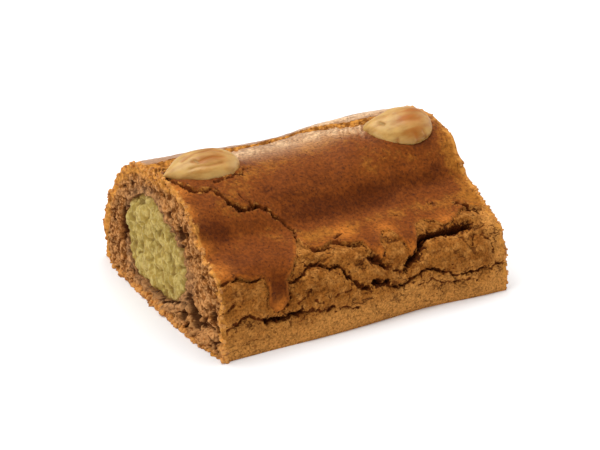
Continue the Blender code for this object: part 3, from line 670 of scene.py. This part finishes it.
def dough_finish(colours):
    """Baked spiced dough: glossy speckled skin, torn crumb, dark cracks and porous cut faces."""
    finish = Finish("baked_speculaas", 0.5)
    opened, edge, cut, girth = (finish.field(name) for name in ("opened", "edge", "cut", "girth"))
    shade_in_hollows, inward, from_cut = (finish.field(name) for name in ("shade_in_hollows", "inward", "from_cut"))
    ragged = finish.maths("MULTIPLY_ADD", finish.speckle(0.8, 3), 1.0, -0.5)

    # Short wandering hairline cracks, on the torn side and round the back.
    weave = finish.speckle(3.4, 4, stretch=(2.0, 1, 1), offset=41)
    wander = finish.maths("ABSOLUTE", finish.maths("SUBTRACT", weave, 0.5))
    where = finish.maths("MAXIMUM", finish.between(edge, 0.3, -0.3), finish.between(girth, 76, 84))
    patch = finish.maths("MULTIPLY", finish.between(finish.speckle(5, 2, offset=42), 0.53, 0.6), where)
    patch = finish.maths("MULTIPLY", patch, finish.between(girth, 76, 84, 1, 0.6))
    fine = finish.maths("MULTIPLY", finish.between(wander, 0.004, 0.022, 0.8, 0), patch)
    fine = finish.maths("MULTIPLY", fine, finish.between(girth, 3, 9, 0.5, 1))

    # Smooth skin, darker and redder at browned spots and painted shade, golden at paler spots and painted light.
    brown_and_painted_light = finish.field("brown_and_painted_light")
    mottle = finish.maths("MULTIPLY_ADD", finish.speckle(6, 4), 1.7, -0.85)
    fleck = finish.maths("MULTIPLY_ADD", finish.speckle(1.5, 3, offset=4), 1.8, -0.9)
    skin_tone_and_painted_light = finish.maths("ADD", brown_and_painted_light, finish.maths("ADD", mottle, fleck))
    skin = finish.mix(finish.between(skin_tone_and_painted_light, 0.0, 1.3), colours.skin, colours.skin_dark)
    skin = finish.mix(finish.between(skin_tone_and_painted_light, 0.0, -1.3), skin, colours.skin_warm)
    wrinkles = finish.speckle(1.3, 3, stretch=(0.7, 4, 4), offset=31, turn=0.5)
    shine = finish.maths("MULTIPLY", finish.field("shine"), finish.between(wrinkles, 0.36, 0.62, 0.3, 1.0))
    patches = finish.between(finish.speckle(4.5, 3, offset=33), 0.38, 0.56, 0.35, 1.0)
    shine = finish.maths("MULTIPLY", shine, patches)
    # A painted sheen: a pale colour along the ridge and in the shining patches stands in for the shine.
    ridge = finish.maths("MULTIPLY", finish.between(girth, 58, 70, 0, 0.35),
                         finish.between(girth, 80, 90, 1, 0))
    skin = finish.mix(ridge, skin, colours.painted_sheen)
    skin = finish.mix(finish.maths("MINIMUM", shine, 0.95), skin, colours.painted_sheen)
    # Toasted patches, with the painted highlight along the broken edge.
    skin = finish.mix(finish.maths("MULTIPLY", finish.field("toast"), 0.85), skin, colours.toast)
    skin = finish.dapple(skin, 0.8, 0.77, 1.23, offset=21)
    skin = finish.mix(finish.between(finish.speckle(0.7, 1, offset=7), 0.62, 0.7, 0, 0.6), skin, colours.spice)
    skin = finish.mix(finish.maths("MULTIPLY", fine, 0.7), skin, colours.spice)

    # Torn side: matt sandy plates with fine cracks and crumbly banks.
    crumbly = finish.field("crumbly")
    torn = finish.mix(finish.between(finish.speckle(5, 3, stretch=(1.6, 1, 1), offset=1), 0.35, 0.65),
                      colours.crumb_dark, colours.crumb)
    torn = finish.mix(finish.between(finish.speckle(2.2, 3, offset=2), 0.45, 0.7, 0, 0.5), torn,
                      colours.crumb_pale)
    # The same browning and painted light on the torn side: paler along the bottom edges, darker at browned and
    # shaded spots.
    torn = finish.mix(finish.between(brown_and_painted_light, 0, -1.2, 0, 0.8), torn, colours.crumb_pale)
    torn = finish.mix(finish.between(brown_and_painted_light, 0, 1, 0, 0.6), torn, colours.crumb_dark)
    torn = finish.mix(finish.maths("MULTIPLY", finish.field("toast"), 0.4), torn, colours.toast)
    torn = finish.dapple(torn, 0.6, 0.74, 1.26, offset=23)
    torn = finish.mix(finish.between(finish.speckle(0.7, 1, offset=5), 0.6, 0.68, 0, 0.6), torn,
                      colours.crack_crumb)
    bits = finish.between(finish.speckle(0.9, 2, offset=44), 0.5, 0.62, 0, 0.8)
    torn = finish.mix(finish.maths("MULTIPLY", crumbly, bits), torn, colours.rim)
    # Crumbs and pits in the crumbly banks, the deepest painted dark with the cracks' shade colour.
    loose = finish.maths("MULTIPLY_ADD", crumbly, 0.34, finish.speckle(0.9, 3, offset=6))
    torn = finish.mix(finish.between(loose, 0.68, 0.76, 0, 0.9), torn, colours.crack_crumb)
    torn = finish.mix(finish.between(loose, 0.76, 0.86, 0, 0.9), torn, colours.crack)
    plate_edge = finish.maths("ADD", finish.field("hair"), finish.maths("MULTIPLY", ragged, 0.2))
    hairline = finish.maths("MAXIMUM", fine, finish.between(plate_edge, 0.04, 0.18, 0.7, 0))
    torn = finish.mix(hairline, torn, colours.hairline)

    on_skin = finish.between(finish.maths("ADD", edge, finish.maths("MULTIPLY", ragged, 0.5)), -0.1, 0.1)
    bank = finish.maths("MULTIPLY_ADD", crumbly, 1.7, finish.speckle(1.2, 3, offset=46))
    on_skin = finish.maths("MULTIPLY", on_skin, finish.between(bank, 0.84, 0.96, 1, 0))
    colour = finish.mix(on_skin, torn, skin)

    # Cracks.
    crack = finish.between(finish.maths("ADD", opened, finish.maths("MULTIPLY", ragged, 0.6)), -0.15, 0.2)
    crumbs = finish.mix(finish.between(finish.speckle(1.5, 4, offset=8), 0.36, 0.66, 0.2, 1.0),
                        colours.crack_crumb, colours.rim)
    crumbs = finish.mix(finish.between(girth, 64, 60), crumbs, colours.crack_crumb)
    colour = finish.mix(crack, colour, crumbs)

    # Cut faces: warm under the crust, greyer towards the paste.
    face = finish.mix(finish.between(finish.speckle(2.6, 3, offset=9), 0.35, 0.65), colours.cut_crumb_dark,
                      colours.cut_crumb)
    # Painted highlights on the tops of the crumbs and painted shade between them.
    lit = finish.maths("MULTIPLY_ADD", finish.field("lump"), 0.32, finish.speckle(0.8, 2, offset=11))
    face = finish.mix(finish.between(lit, 0.62, 0.86, 0, 0.8), face, colours.cut_crumb_pale)
    face = finish.mix(finish.between(lit, 0.58, 0.42, 0, 0.85), face, colours.cut_crumb_dark)
    damp = finish.between(finish.maths("ADD", finish.field("mouth"), finish.maths("MULTIPLY", ragged, 3.0)),
                          0.2, 4.0, 0.38, 0)
    face = finish.mix(damp, face, colours.damp)
    blot = finish.maths("MULTIPLY_ADD", finish.speckle(2.0, 3, offset=17), 5.0, -2.5)
    crusty = finish.maths("ADD", inward, finish.between(girth, 44, 60, 0, -1.6))
    warm = finish.between(finish.maths("ADD", crusty, finish.maths("ADD", ragged, blot)), 0.0, 2.6, 0.85, 0)
    face = finish.mix(warm, face, colours.rim)
    face = finish.dapple(face, 1.2, 0.75, 1.25, offset=24)
    colour = finish.mix(cut, colour, face)
    # The skin along each cut gets the bright orange of the broken rim: partly its own colour, partly painted
    # light where the rim catches it.
    rim = finish.between(finish.maths("ADD", from_cut, finish.maths("ADD", ragged, blot)), -0.2, 1.8, 0.85, 0)
    rim = finish.maths("MULTIPLY", rim, finish.maths("SUBTRACT", 1.0, cut))
    colour = finish.mix(rim, colour, colours.rim)
    # Painted shade in the cracks, pores and hollows, in the cracks' dark colour.
    shade = finish.maths("MULTIPLY", finish.between(shade_in_hollows, 0.1, 0.95),
                         finish.maths("MULTIPLY_ADD", cut, 0.02, 0.86))
    colour = finish.mix(shade, colour, colours.crack)

    matt = finish.maths("MAXIMUM", finish.maths("MAXIMUM", finish.maths("SUBTRACT", 1.0, on_skin), crack), cut)
    gloss = finish.between(girth, 52, 62, 0.5, 0.3)
    roughness = finish.maths("MAXIMUM", finish.maths("MULTIPLY", matt, 0.85), gloss)
    grainy = finish.maths("MULTIPLY", finish.speckle(2, 3, offset=13), 0.12)
    roughness = finish.maths("ADD", roughness, grainy)
    relief = finish.bump(finish.speckle(0.7, 3, offset=15), 0.25, 0.5)
    relief = finish.bump(finish.maths("MULTIPLY", finish.speckle(0.5, 2, offset=16), matt), 0.4, 0.7, relief)
    sunken = finish.maths("MULTIPLY", finish.between(loose, 0.68, 0.86), finish.maths("SUBTRACT", matt, cut))
    hairs = finish.maths("MULTIPLY", fine, finish.maths("SUBTRACT", 1.0, cut))
    sunken = finish.maths("MAXIMUM", sunken, hairs)
    relief = finish.bump(finish.maths("SUBTRACT", 1.0, sunken), 0.6, 0.8, relief)
    relief = finish.bump(finish.maths("MULTIPLY", wrinkles, finish.field("shine")), 0.35, 0.7, relief)
    finish.wear(Base_Color=colour, Roughness=roughness, Normal=relief)
    finish.shader.inputs["Specular IOR Level"].default_value = 0.06
    return finish.material


def paste_finish(colours):
    """Moist, grainy almond paste, greener in its crevices and darker there with painted shade."""
    finish = Finish("almond_paste", 0.62)
    crevice_shade = finish.field("crevice_shade")
    tint = finish.mix(finish.between(finish.speckle(5, 2), 0.35, 0.65), colours.paste_green, colours.paste)
    # Painted highlights on the lumps' tops and painted shade in the crevices between them.
    lit = finish.maths("MULTIPLY_ADD", crevice_shade, -0.25, finish.speckle(1.5, 3, offset=2))
    tint = finish.mix(finish.between(lit, 0.38, 0.6, 0, 0.85), tint, colours.paste_pale)
    tint = finish.mix(finish.between(crevice_shade, 0.25, 1.0, 0, 0.9), tint, colours.paste_deep)
    stain = finish.between(finish.field("to_dough"), 0.0, 2.2, 0.6, 0.0)
    tint = finish.mix(stain, tint, colours.cut_crumb)
    tint = finish.dapple(tint, 1.0, 0.9, 1.1, offset=8)
    relief = finish.bump(finish.speckle(0.6, 3, offset=3), 0.3, 0.7)
    finish.wear(Base_Color=tint, Normal=relief)
    finish.shader.inputs["Specular IOR Level"].default_value = 0.3
    finish.shader.inputs["Subsurface Weight"].default_value = 0.12
    finish.shader.inputs["Subsurface Radius"].default_value = (1.0, 0.75, 0.35)
    finish.shader.inputs["Subsurface Scale"].default_value = 0.6 * MM
    return finish.material


def almond_finish(name, colours, toast):
    """A blanched almond: pale, with toasted streaks along it."""
    finish = Finish(name, 0.38)
    streak = finish.field("streak")
    tone = finish.maths("MULTIPLY_ADD", streak, 0.3, finish.speckle(2.2, 3, stretch=(3.5, 1, 1)))
    tint = finish.mix(finish.between(tone, 0.42, 0.9), colours.almond_pale, colours.almond)
    tint = finish.mix(finish.maths("MULTIPLY", streak, toast), tint, colours.almond_toast)
    tint = finish.mix(finish.between(finish.speckle(0.9, 2, offset=3), 0.62, 0.75, 0, 0.3), tint,
                      colours.almond_toast)
    tint = finish.mix(finish.maths("MULTIPLY", finish.field("pit"), 0.55), tint, colours.paste_deep)
    tint = finish.dapple(tint, 3.5, 0.94, 1.06, offset=6)
    relief = finish.bump(finish.speckle(0.8, 2, offset=5), 0.12, 0.35)
    finish.wear(Base_Color=tint, Normal=relief)
    finish.shader.inputs["Specular IOR Level"].default_value = 0.3
    finish.shader.inputs["Subsurface Weight"].default_value = 0.2
    finish.shader.inputs["Subsurface Radius"].default_value = (1.0, 0.6, 0.3)
    finish.shader.inputs["Subsurface Scale"].default_value = 1.5 * MM
    return finish.material


def crumb_finish(colours):
    """Loose crumbs, the colour of the broken rim."""
    finish = Finish("speculaas_crumbs", 0.8)
    tint = finish.mix(finish.between(finish.speckle(1.5, 2), 0.35, 0.55), colours.crumb, colours.rim)
    tint = finish.mix(finish.between(finish.speckle(0.6, 2, offset=2), 0.5, 0.7), tint, colours.crumb_pale)
    finish.wear(Base_Color=tint, Normal=finish.bump(finish.speckle(0.4, 2), 0.2, 0.6))
    return finish.material


# Pieces.

def select_none():
    """Deselects every object."""
    for other in bpy.context.selected_objects:
        other.select_set(False)


def name_new(name):
    """Gives the primitive just added its name."""
    made = bpy.context.active_object
    made.name = name
    made.data.name = name
    return made


def store_fields(mesh, fields):
    """Keeps the finish's numbers on the mesh's points."""
    for name, values in fields.items():
        mesh.attributes.new(name, "FLOAT", "POINT").data.foreach_set("value", np.asarray(values, np.float32))


def read_points(mesh):
    """The mesh's points as rows of X, Y and Z."""
    points = np.empty(len(mesh.vertices) * 3)
    mesh.vertices.foreach_get("co", points)
    return points.reshape(-1, 3)


def write_points(mesh, points):
    """Moves the mesh's points to those rows."""
    mesh.vertices.foreach_set("co", np.asarray(points, np.float64).ravel())
    mesh.update()


def close_seams():
    """Merges a piece's seams and turns its faces outwards."""
    bpy.ops.object.mode_set(mode="EDIT")
    bpy.ops.mesh.select_all(action="SELECT")
    bpy.ops.mesh.remove_doubles(threshold=SEAM)
    bpy.ops.mesh.normals_make_consistent(inside=False)
    bpy.ops.object.mode_set(mode="OBJECT")


def settle(piece, material, node):
    """Finishes a piece: its material, its body, the node it stands for, if any."""
    piece.data.materials.clear()
    piece.data.materials.append(material)
    piece.data.shade_smooth()
    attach(piece, "root")
    if node:
        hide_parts(node)


def build_log(colours):
    """The dough: a flat grid is cut finer beside the left cut, then wrapped round and through the bar."""
    select_none()
    bpy.ops.mesh.primitive_grid_add(x_subdivisions=ROWS, y_subdivisions=COLUMNS, size=1)
    log = name_new("speculaas_log")
    mesh = log.data
    place = (read_points(mesh)[:, :2] + 0.5) * (ROWS, COLUMNS)
    pairs = np.empty(len(mesh.edges) * 2, int)
    mesh.edges.foreach_get("vertices", pairs)
    first, second = place[pairs.reshape(-1, 2)[:, 0]], place[pairs.reshape(-1, 2)[:, 1]]
    around = np.abs(first[:, 0] - second[:, 0]) < 0.5
    coarse = (first[:, 1] + second[:, 1]) / 2 > FRONT_COLUMNS
    beside = (first[:, 0] < LEFT_CUT_ROWS + FINE_ROWS + 0.5) | (first[:, 0] > ROWS - 0.5)
    bpy.ops.object.mode_set(mode="EDIT")
    bpy.ops.mesh.select_mode(type="EDGE")
    bpy.ops.mesh.select_all(action="DESELECT")
    bpy.ops.object.mode_set(mode="OBJECT")
    mesh.edges.foreach_set("select", around & coarse & beside)
    bpy.ops.object.mode_set(mode="EDIT")
    bpy.ops.mesh.subdivide(number_cuts=3, ngon=False)
    bpy.ops.object.mode_set(mode="OBJECT")
    place = (read_points(mesh)[:, :2] + 0.5) * (ROWS, COLUMNS)
    points, fields = log_surface(place[:, 0], place[:, 1] % COLUMNS)
    write_points(mesh, points * MM)
    store_fields(mesh, fields)
    close_seams()
    settle(log, dough_finish(colours), "speculaas_dough")


def lump_height(points, side):
    """The lumpy end of the paste at (Y, Z), and how deep in the crevices each point lies, which sets its painted
    shade, from 0 to 1.
    """
    rng = np.random.default_rng(SEED + 20 + side)
    warped = points + 0.6 * np.column_stack([grain(points, 1.8, 60), grain(points, 1.8, 61)])
    places = scatter(rng, (-22, 0), (26, 34), 2.1)
    sizes = rng.uniform(0.8, 2.3, len(places))
    lumps = domes(warped, places, sizes, sizes * rng.uniform(0.5, 1.0, len(places)))
    places = scatter(rng, (-22, 0), (26, 34), 0.9)
    sizes = rng.uniform(0.3, 0.6, len(places))
    bits = domes(warped, places, sizes, sizes * 0.7)
    dips = grain(points, 5, 6) + 0.5 * grain(points, 2.4, 7)
    height = 0.9 * lumps + 0.5 * bits + 1.2 * dips + 0.25 * grain(points, 1.2, 9)
    crevice_shade = 0.7 * (1 - ramp(lumps, 0.1, 0.9)) + 0.15 * (1 - ramp(bits, 0.05, 0.4))
    crevice_shade += 0.7 * ramp(-dips, 0.1, 0.7)
    return height + PASTE_LUMPS - height.mean(), np.clip(crevice_shade, 0, 1)


def build_paste(colours):
    """The rod of paste: a grid rounded to the oval, made as long as the bar by Solidify, with lumpy ends."""
    select_none()
    bpy.ops.mesh.primitive_grid_add(x_subdivisions=160, y_subdivisions=112, size=2)
    paste = name_new("almond_paste_filling")
    u, v, _ = read_points(paste.data).T
    across, up = u * np.sqrt(1 - v * v / 2), v * np.sqrt(1 - u * u / 2)
    angle, share = np.arctan2(up, across), np.hypot(up, across)
    reach = share * (paste_reach(angle, 0.05) + np.minimum(paste_wobble(angle, -1), 0.0) * 0.6)
    y, z = PASTE_CENTRE[0] + reach * np.cos(angle), PASTE_CENTRE[1] + reach * np.sin(angle)
    half = (BAR_LENGTH - PASTE_SHORTER) / 2
    write_points(paste.data, np.column_stack([np.full(len(y), -half + CUT_MIDDLE), y, z]) * MM)
    thick = paste.modifiers.new("length", "SOLIDIFY")
    thick.thickness = 2 * half * MM
    thick.offset = 1 if paste.data.polygons[0].normal.x > 0 else -1
    bpy.ops.object.modifier_apply(modifier=thick.name)
    points = read_points(paste.data) / MM
    centre = points[:, 1:] - PASTE_CENTRE
    angle = np.arctan2(centre[:, 1], centre[:, 0])
    to_dough = paste_reach(angle) - np.hypot(centre[:, 0], centre[:, 1])
    crevice_shade = np.zeros(len(points))
    for side in (-1, 1):
        end = np.sign(points[:, 0] - CUT_MIDDLE) == side
        height, crevice_shade[end] = lump_height(points[end, 1:], side)
        rounding = 1.3 * (1 - ramp(to_dough[end], 0, 2.0))
        points[end, 0] += side * (height - PASTE_LUMPS - rounding + cut_bulge(points[end, 1:], side) * 0.6)
    low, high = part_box("almond_paste")
    points[:, 0] = np.clip(points[:, 0], low[0] / MM - PASTE_STANDS_OUT, high[0] / MM + PASTE_STANDS_OUT)
    write_points(paste.data, points * MM)
    store_fields(paste.data, {"crevice_shade": crevice_shade, "to_dough": to_dough})
    close_seams()
    settle(paste, paste_finish(colours), "almond_paste")


def almond_form(sphere, size, blunt, folds):
    """Unit sphere points moved to an almond's form with its tip at +X, how toasted each is and how pitted."""
    x, y, z = sphere.T
    tip = np.clip(x, 0, 1)
    width = np.sqrt(np.maximum(1 - tip**2, 1e-4))
    pointed, stubby = (1 - tip**2) ** 1.12 / width, (1 - tip**10) ** 0.5 * (1 - 0.36 * tip) / width
    round_end = np.clip(-x, 0, 0.995)
    plump = (1 - round_end**2.6) ** 0.45 / np.sqrt(1 - round_end**2)
    taper = ((1 - blunt) * pointed + blunt * stubby) * plump
    flat = np.where(z < 0, 0.75, 1.0)
    points = np.column_stack([x * size[0] / 2, y * taper * size[1] / 2, z * flat * taper**0.7 * size[2] / 2])
    points[:, 0] -= blunt * 0.3 * points[:, 1] * ramp(x, 0.2, 1.0)
    veins = grain(np.column_stack([points[:, 0] / 9, points[:, 1], points[:, 2]]), 1.7, size[0])
    soft = grain(points, 5, size[1])
    spread = np.column_stack([points[:, 0], points[:, 1]])
    fold, pit = np.zeros((2, len(x)))
    for wide, deep, path in folds:
        away = path_distance(spread + 0.4 * np.column_stack([soft, soft]), path) / wide
        share = np.exp(-away * away) * (z > 0)
        fold, pit = np.maximum(fold, deep * share), np.maximum(pit, share * (deep > 0.42))
    points *= (1 + 0.022 * veins * (1 - np.abs(x) ** 4) + 0.03 * soft - fold / size[2] * 2)[:, None]
    # The heat caught the round end most.
    flush = np.exp(-(((x + 0.3) / 0.45) ** 2) - ((y - 0.1) / 0.55) ** 2) * (z > 0)
    # The streaks fade out towards the tip, leaving it pale: painted light at the tip.
    lines = 0.5 * ramp(veins + 0.8 * soft, -0.05, 0.6) * ramp(z, 0.05, 0.7) * ramp(0.7 - x, 0, 0.7)
    streak = np.clip(lines + 2.4 * fold * (1 - pit) + 0.6 * flush, 0, 1)
    return points, streak, pit


def build_almond(name, colours, toast):
    """One blanched almond, in the place and at the turn of its node."""
    centre, size, turns, blunt, folds = ALMONDS[name]
    roll, pitch, heading = (math.radians(turn) for turn in turns)
    select_none()
    bpy.ops.mesh.primitive_uv_sphere_add(segments=128, ring_count=96, radius=1)
    nut = name_new(name.replace("almond", "blanched_almond"))
    sphere = read_points(nut.data)[:, [2, 1, 0]] * (1, 1, -1)
    points, streak, pit = almond_form(sphere, size, blunt, folds)
    rolled = Matrix.Rotation(roll, 3, "X").inverted()
    turn = np.array(rolled @ Matrix.Rotation(heading, 3, "Z") @ Matrix.Rotation(pitch, 3, "Y"))
    points = points @ turn.T + centre + (CUT_MIDDLE, 0, 0)
    write_points(nut.data, points * MM)
    store_fields(nut.data, {"streak": streak, "pit": pit})
    close_seams()
    settle(nut, almond_finish(nut.name, colours, toast), name)


def build_crumbs(log, colours, count):
    """Loose crumbs on the broken rims of the cuts, modelled once and copied."""
    rng = np.random.default_rng(SEED + 5)
    select_none()
    bpy.ops.mesh.primitive_ico_sphere_add(subdivisions=2, radius=1)
    model = name_new("crumb_model")
    ball = read_points(model.data)
    surface = read_points(log.data) / MM
    inward = np.empty(len(surface), np.float32)
    log.data.attributes["inward"].data.foreach_get("value", inward)
    opened = np.empty(len(surface), np.float32)
    log.data.attributes["opened"].data.foreach_get("value", opened)
    on_rim = inward < 1.4
    left = surface[on_rim & (surface[:, 0] < CUT_MIDDLE - BAR_LENGTH / 2 + 0.9)]
    right = surface[on_rim & (surface[:, 0] > CUT_MIDDLE + BAR_LENGTH / 2 - 0.6) & (surface[:, 1] < 5)]
    ridge = surface[(opened > 0.2) & (surface[:, 2] > 34) & (surface[:, 1] > 0)]
    low = left[(left[:, 2] < 3.5) & (left[:, 1] < 30)]
    sources = (left[left[:, 2] >= 3.5], low, right, ridge, low)
    copies = []
    for number in range(count):
        source = sources[number % len(sources)]
        spot = source[rng.integers(len(source))]
        size = rng.uniform(*CRUMB_RADII) * CRUMB_SHARES[number % len(sources)]
        shape = ball * rng.uniform(0.7, 1.2, 3) * (1 + 0.35 * grain(ball, 0.8, number))[:, None] * size
        shape = shape + spot
        shape[:, 2] = np.maximum(shape[:, 2], 0.02)
        crumb = model.copy()
        crumb.data = model.data.copy()
        bpy.context.collection.objects.link(crumb)
        write_points(crumb.data, shape * MM)
        copies.append(crumb)
    bpy.data.objects.remove(model)
    select_none()
    for crumb in copies:
        crumb.select_set(True)
    bpy.context.view_layer.objects.active = copies[0]
    bpy.ops.object.join()
    crumbs = name_new("loose_crumbs")
    settle(crumbs, crumb_finish(colours), None)


# Settings.

def colour_property(name, value):
    """One colour that a user may change."""
    return FloatVectorProperty(name=name, description=f"Colour of the {name.lower()}",
                               subtype="COLOR", size=3, min=0, max=1, default=value)


class SpeculaasColours(bpy.types.PropertyGroup):
    """Colours of the dough, paste and almonds."""

    skin: colour_property("Smooth skin", (0.188, 0.0445, 0.0046))
    # The browned and warm skin colours also carry painted shade and painted light along with the browning.
    skin_dark: colour_property("Browned skin", (0.105, 0.0215, 0.0018))
    skin_warm: colour_property("Warm patches of skin", (0.345, 0.119, 0.0135))
    spice: colour_property("Spice specks", (0.045, 0.011, 0.003))
    crumb: colour_property("Torn crumb", (0.325, 0.1155, 0.0185))
    crumb_dark: colour_property("Dark torn crumb", (0.215, 0.067, 0.009))
    crumb_pale: colour_property("Dusty torn crumb", (0.57, 0.25, 0.058))
    # Painted shade: the dark colour put in cracks, pores and hollows.
    crack: colour_property("Cracks", (0.05, 0.012, 0.0027))
    hairline: colour_property("Hairline cracks", (0.075, 0.0155, 0.0025))
    crack_crumb: colour_property("Crumb in the cracks", (0.12, 0.027, 0.004))
    cut_crumb: colour_property("Cut crumb", (0.315, 0.118, 0.028))
    cut_crumb_dark: colour_property("Dark cut crumb", (0.12, 0.0345, 0.0065))
    cut_crumb_pale: colour_property("Pale cut crumb", (0.6, 0.285, 0.098))
    # A painted sheen: this pale colour stands in for the shine along the ridge.
    painted_sheen: colour_property("Bloom on the ridge", (0.72, 0.46, 0.25))
    damp: colour_property("Damp crumb beside the paste", (0.33, 0.195, 0.1))
    # Partly painted light: the orange of broken edges that catch the light.
    toast: colour_property("Toasted edges", (0.48, 0.145, 0.0185))
    # Partly painted light: the bright orange of broken rims and crumbs that catch the light.
    rim: colour_property("Broken rim", (0.65, 0.275, 0.05))
    paste: colour_property("Almond paste", (0.395, 0.26, 0.046))
    paste_green: colour_property("Greenish paste", (0.325, 0.218, 0.034))
    paste_pale: colour_property("Pale paste grains", (0.55, 0.408, 0.12))
    paste_deep: colour_property("Paste crevices", (0.23, 0.135, 0.019))
    almond: colour_property("Almond", (0.312, 0.126, 0.0135))
    almond_pale: colour_property("Pale almond", (0.565, 0.333, 0.095))
    almond_toast: colour_property("Toasted almond", (0.415, 0.125, 0.0105))


class SpeculaasSizes(bpy.types.PropertyGroup):
    """Sizes and counts that vary from bar to bar."""

    crumb_count: IntProperty(name="Crumbs", description="How many loose crumbs cling to the cuts",
                             default=800, min=1, max=1200)
    left_toast: FloatProperty(name="Left toast", description="How toasted the left almond is",
                              subtype="FACTOR", default=0.7, min=0, max=1)
    right_toast: FloatProperty(name="Right toast", description="How toasted the right almond is",
                               subtype="FACTOR", default=0.95, min=0, max=1)
    floor_size: FloatProperty(name="Floor", description="Side of the square floor", default=6.0, min=1,
                              unit="LENGTH")


# Operators.

class SPECULAAS_OT_log(bpy.types.Operator):
    """Bake the cracked dough round the paste"""
    bl_idname = "speculaas.log"
    bl_label = "Bake the Dough"

    def execute(self, context):
        build_log(context.scene.speculaas_colours)
        return {"FINISHED"}


class SPECULAAS_OT_paste(bpy.types.Operator):
    """Fill the bar with grainy almond paste"""
    bl_idname = "speculaas.paste"
    bl_label = "Add the Almond Paste"

    def execute(self, context):
        build_paste(context.scene.speculaas_colours)
        return {"FINISHED"}


class SPECULAAS_OT_almonds(bpy.types.Operator):
    """Press the two blanched almonds into the top"""
    bl_idname = "speculaas.almonds"
    bl_label = "Press in the Almonds"

    def execute(self, context):
        sizes, colours = context.scene.speculaas_sizes, context.scene.speculaas_colours
        build_almond("almond_left", colours, sizes.left_toast)
        build_almond("almond_right", colours, sizes.right_toast)
        return {"FINISHED"}


class SPECULAAS_OT_crumbs(bpy.types.Operator):
    """Scatter crumbs along the broken rims of the cuts"""
    bl_idname = "speculaas.crumbs"
    bl_label = "Scatter Crumbs"

    def execute(self, context):
        build_crumbs(bpy.data.objects["speculaas_log"], context.scene.speculaas_colours,
                     context.scene.speculaas_sizes.crumb_count)
        return {"FINISHED"}


# The stage: the camera's place and turn, and each soft light's place, side in metres and power.
CAMERA_PLACE = Vector((-192.277, -347.64, 179.323)) * MM
CAMERA_TURN = math.radians(-28.962)
CAMERA_DOWN = math.radians(22.484)
CAMERA_LENS = 89.4
CAMERA_SENSOR = 36
PAPER_COLOUR = (0.9, 0.9, 0.9, 1)
ROOM_COLOUR = (1.0, 1.0, 1.0, 1)
ROOM_LIGHT = 0.5
SOFTBOXES = {
    "top_softbox": ((-0.05, 0.28, 1.3), 1.2, 17),
    "left_softbox": ((-1.3, -0.3, 0.7), 0.8, 6),
    "right_softbox": ((1.3, 0.1, 0.6), 0.8, 3),
}


def add_softbox(name):
    """A square soft light aimed at the bar."""
    place, side, power = SOFTBOXES[name]
    bpy.ops.object.light_add(type="AREA", location=place)
    lamp = bpy.context.active_object
    lamp.name = name
    lamp.data.size = side
    lamp.data.energy = power
    lamp.rotation_euler = (Vector((0, 0, 0.02)) - lamp.location).to_track_quat("-Z", "Y").to_euler()


class SPECULAAS_OT_stage(bpy.types.Operator):
    """Set a pale floor, soft lights and the camera"""
    bl_idname = "speculaas.stage"
    bl_label = "Set the Stage"

    def execute(self, context):
        scene = context.scene
        select_none()
        bpy.ops.mesh.primitive_plane_add(size=scene.speculaas_sizes.floor_size)
        floor = name_new("studio_floor")
        paper = Finish("white_paper", 0.9)
        paper.shader.inputs["Base Color"].default_value = PAPER_COLOUR
        floor.data.materials.append(paper.material)
        world = bpy.data.worlds.new("studio")
        world.use_nodes = True
        background = world.node_tree.nodes["Background"]
        background.inputs["Color"].default_value = ROOM_COLOUR
        background.inputs["Strength"].default_value = ROOM_LIGHT
        scene.world = world
        for name in SOFTBOXES:
            add_softbox(name)
        scene.view_settings.view_transform = "Standard"
        bpy.ops.object.camera_add(location=CAMERA_PLACE)
        camera = context.active_object
        camera.name = "studio_camera"
        camera.rotation_euler = (math.pi / 2 - CAMERA_DOWN, 0, CAMERA_TURN)
        camera.data.lens = CAMERA_LENS
        camera.data.sensor_width = CAMERA_SENSOR
        scene.camera = camera
        return {"FINISHED"}


class SPECULAAS_PT_panel(bpy.types.Panel):
    """The bar's pieces and settings"""
    bl_label = "Speculaas"
    bl_space_type = "VIEW_3D"
    bl_region_type = "UI"
    bl_category = "Speculaas"

    def draw(self, context):
        for operator in OPERATORS:
            self.layout.operator(operator.bl_idname)
        for group in (context.scene.speculaas_sizes, context.scene.speculaas_colours):
            for name in group.__annotations__:
                self.layout.prop(group, name)


OPERATORS = (SPECULAAS_OT_log, SPECULAAS_OT_paste, SPECULAAS_OT_almonds, SPECULAAS_OT_crumbs,
             SPECULAAS_OT_stage)
CLASSES = (SpeculaasColours, SpeculaasSizes, *OPERATORS, SPECULAAS_PT_panel)


def register():
    """Adds the operators, the panel and the scene's settings."""
    for cls in CLASSES:
        bpy.utils.register_class(cls)
    bpy.types.Scene.speculaas_colours = PointerProperty(type=SpeculaasColours)
    bpy.types.Scene.speculaas_sizes = PointerProperty(type=SpeculaasSizes)


def unregister():
    """Takes them away again."""
    del bpy.types.Scene.speculaas_sizes
    del bpy.types.Scene.speculaas_colours
    for cls in reversed(CLASSES):
        bpy.utils.unregister_class(cls)


def main():
    """Bakes the whole bar and sets the stage."""
    register()
    bpy.ops.speculaas.log()
    bpy.ops.speculaas.paste()
    bpy.ops.speculaas.almonds()
    bpy.ops.speculaas.crumbs()
    bpy.ops.speculaas.stage()


if __name__ == "__main__":
    main()
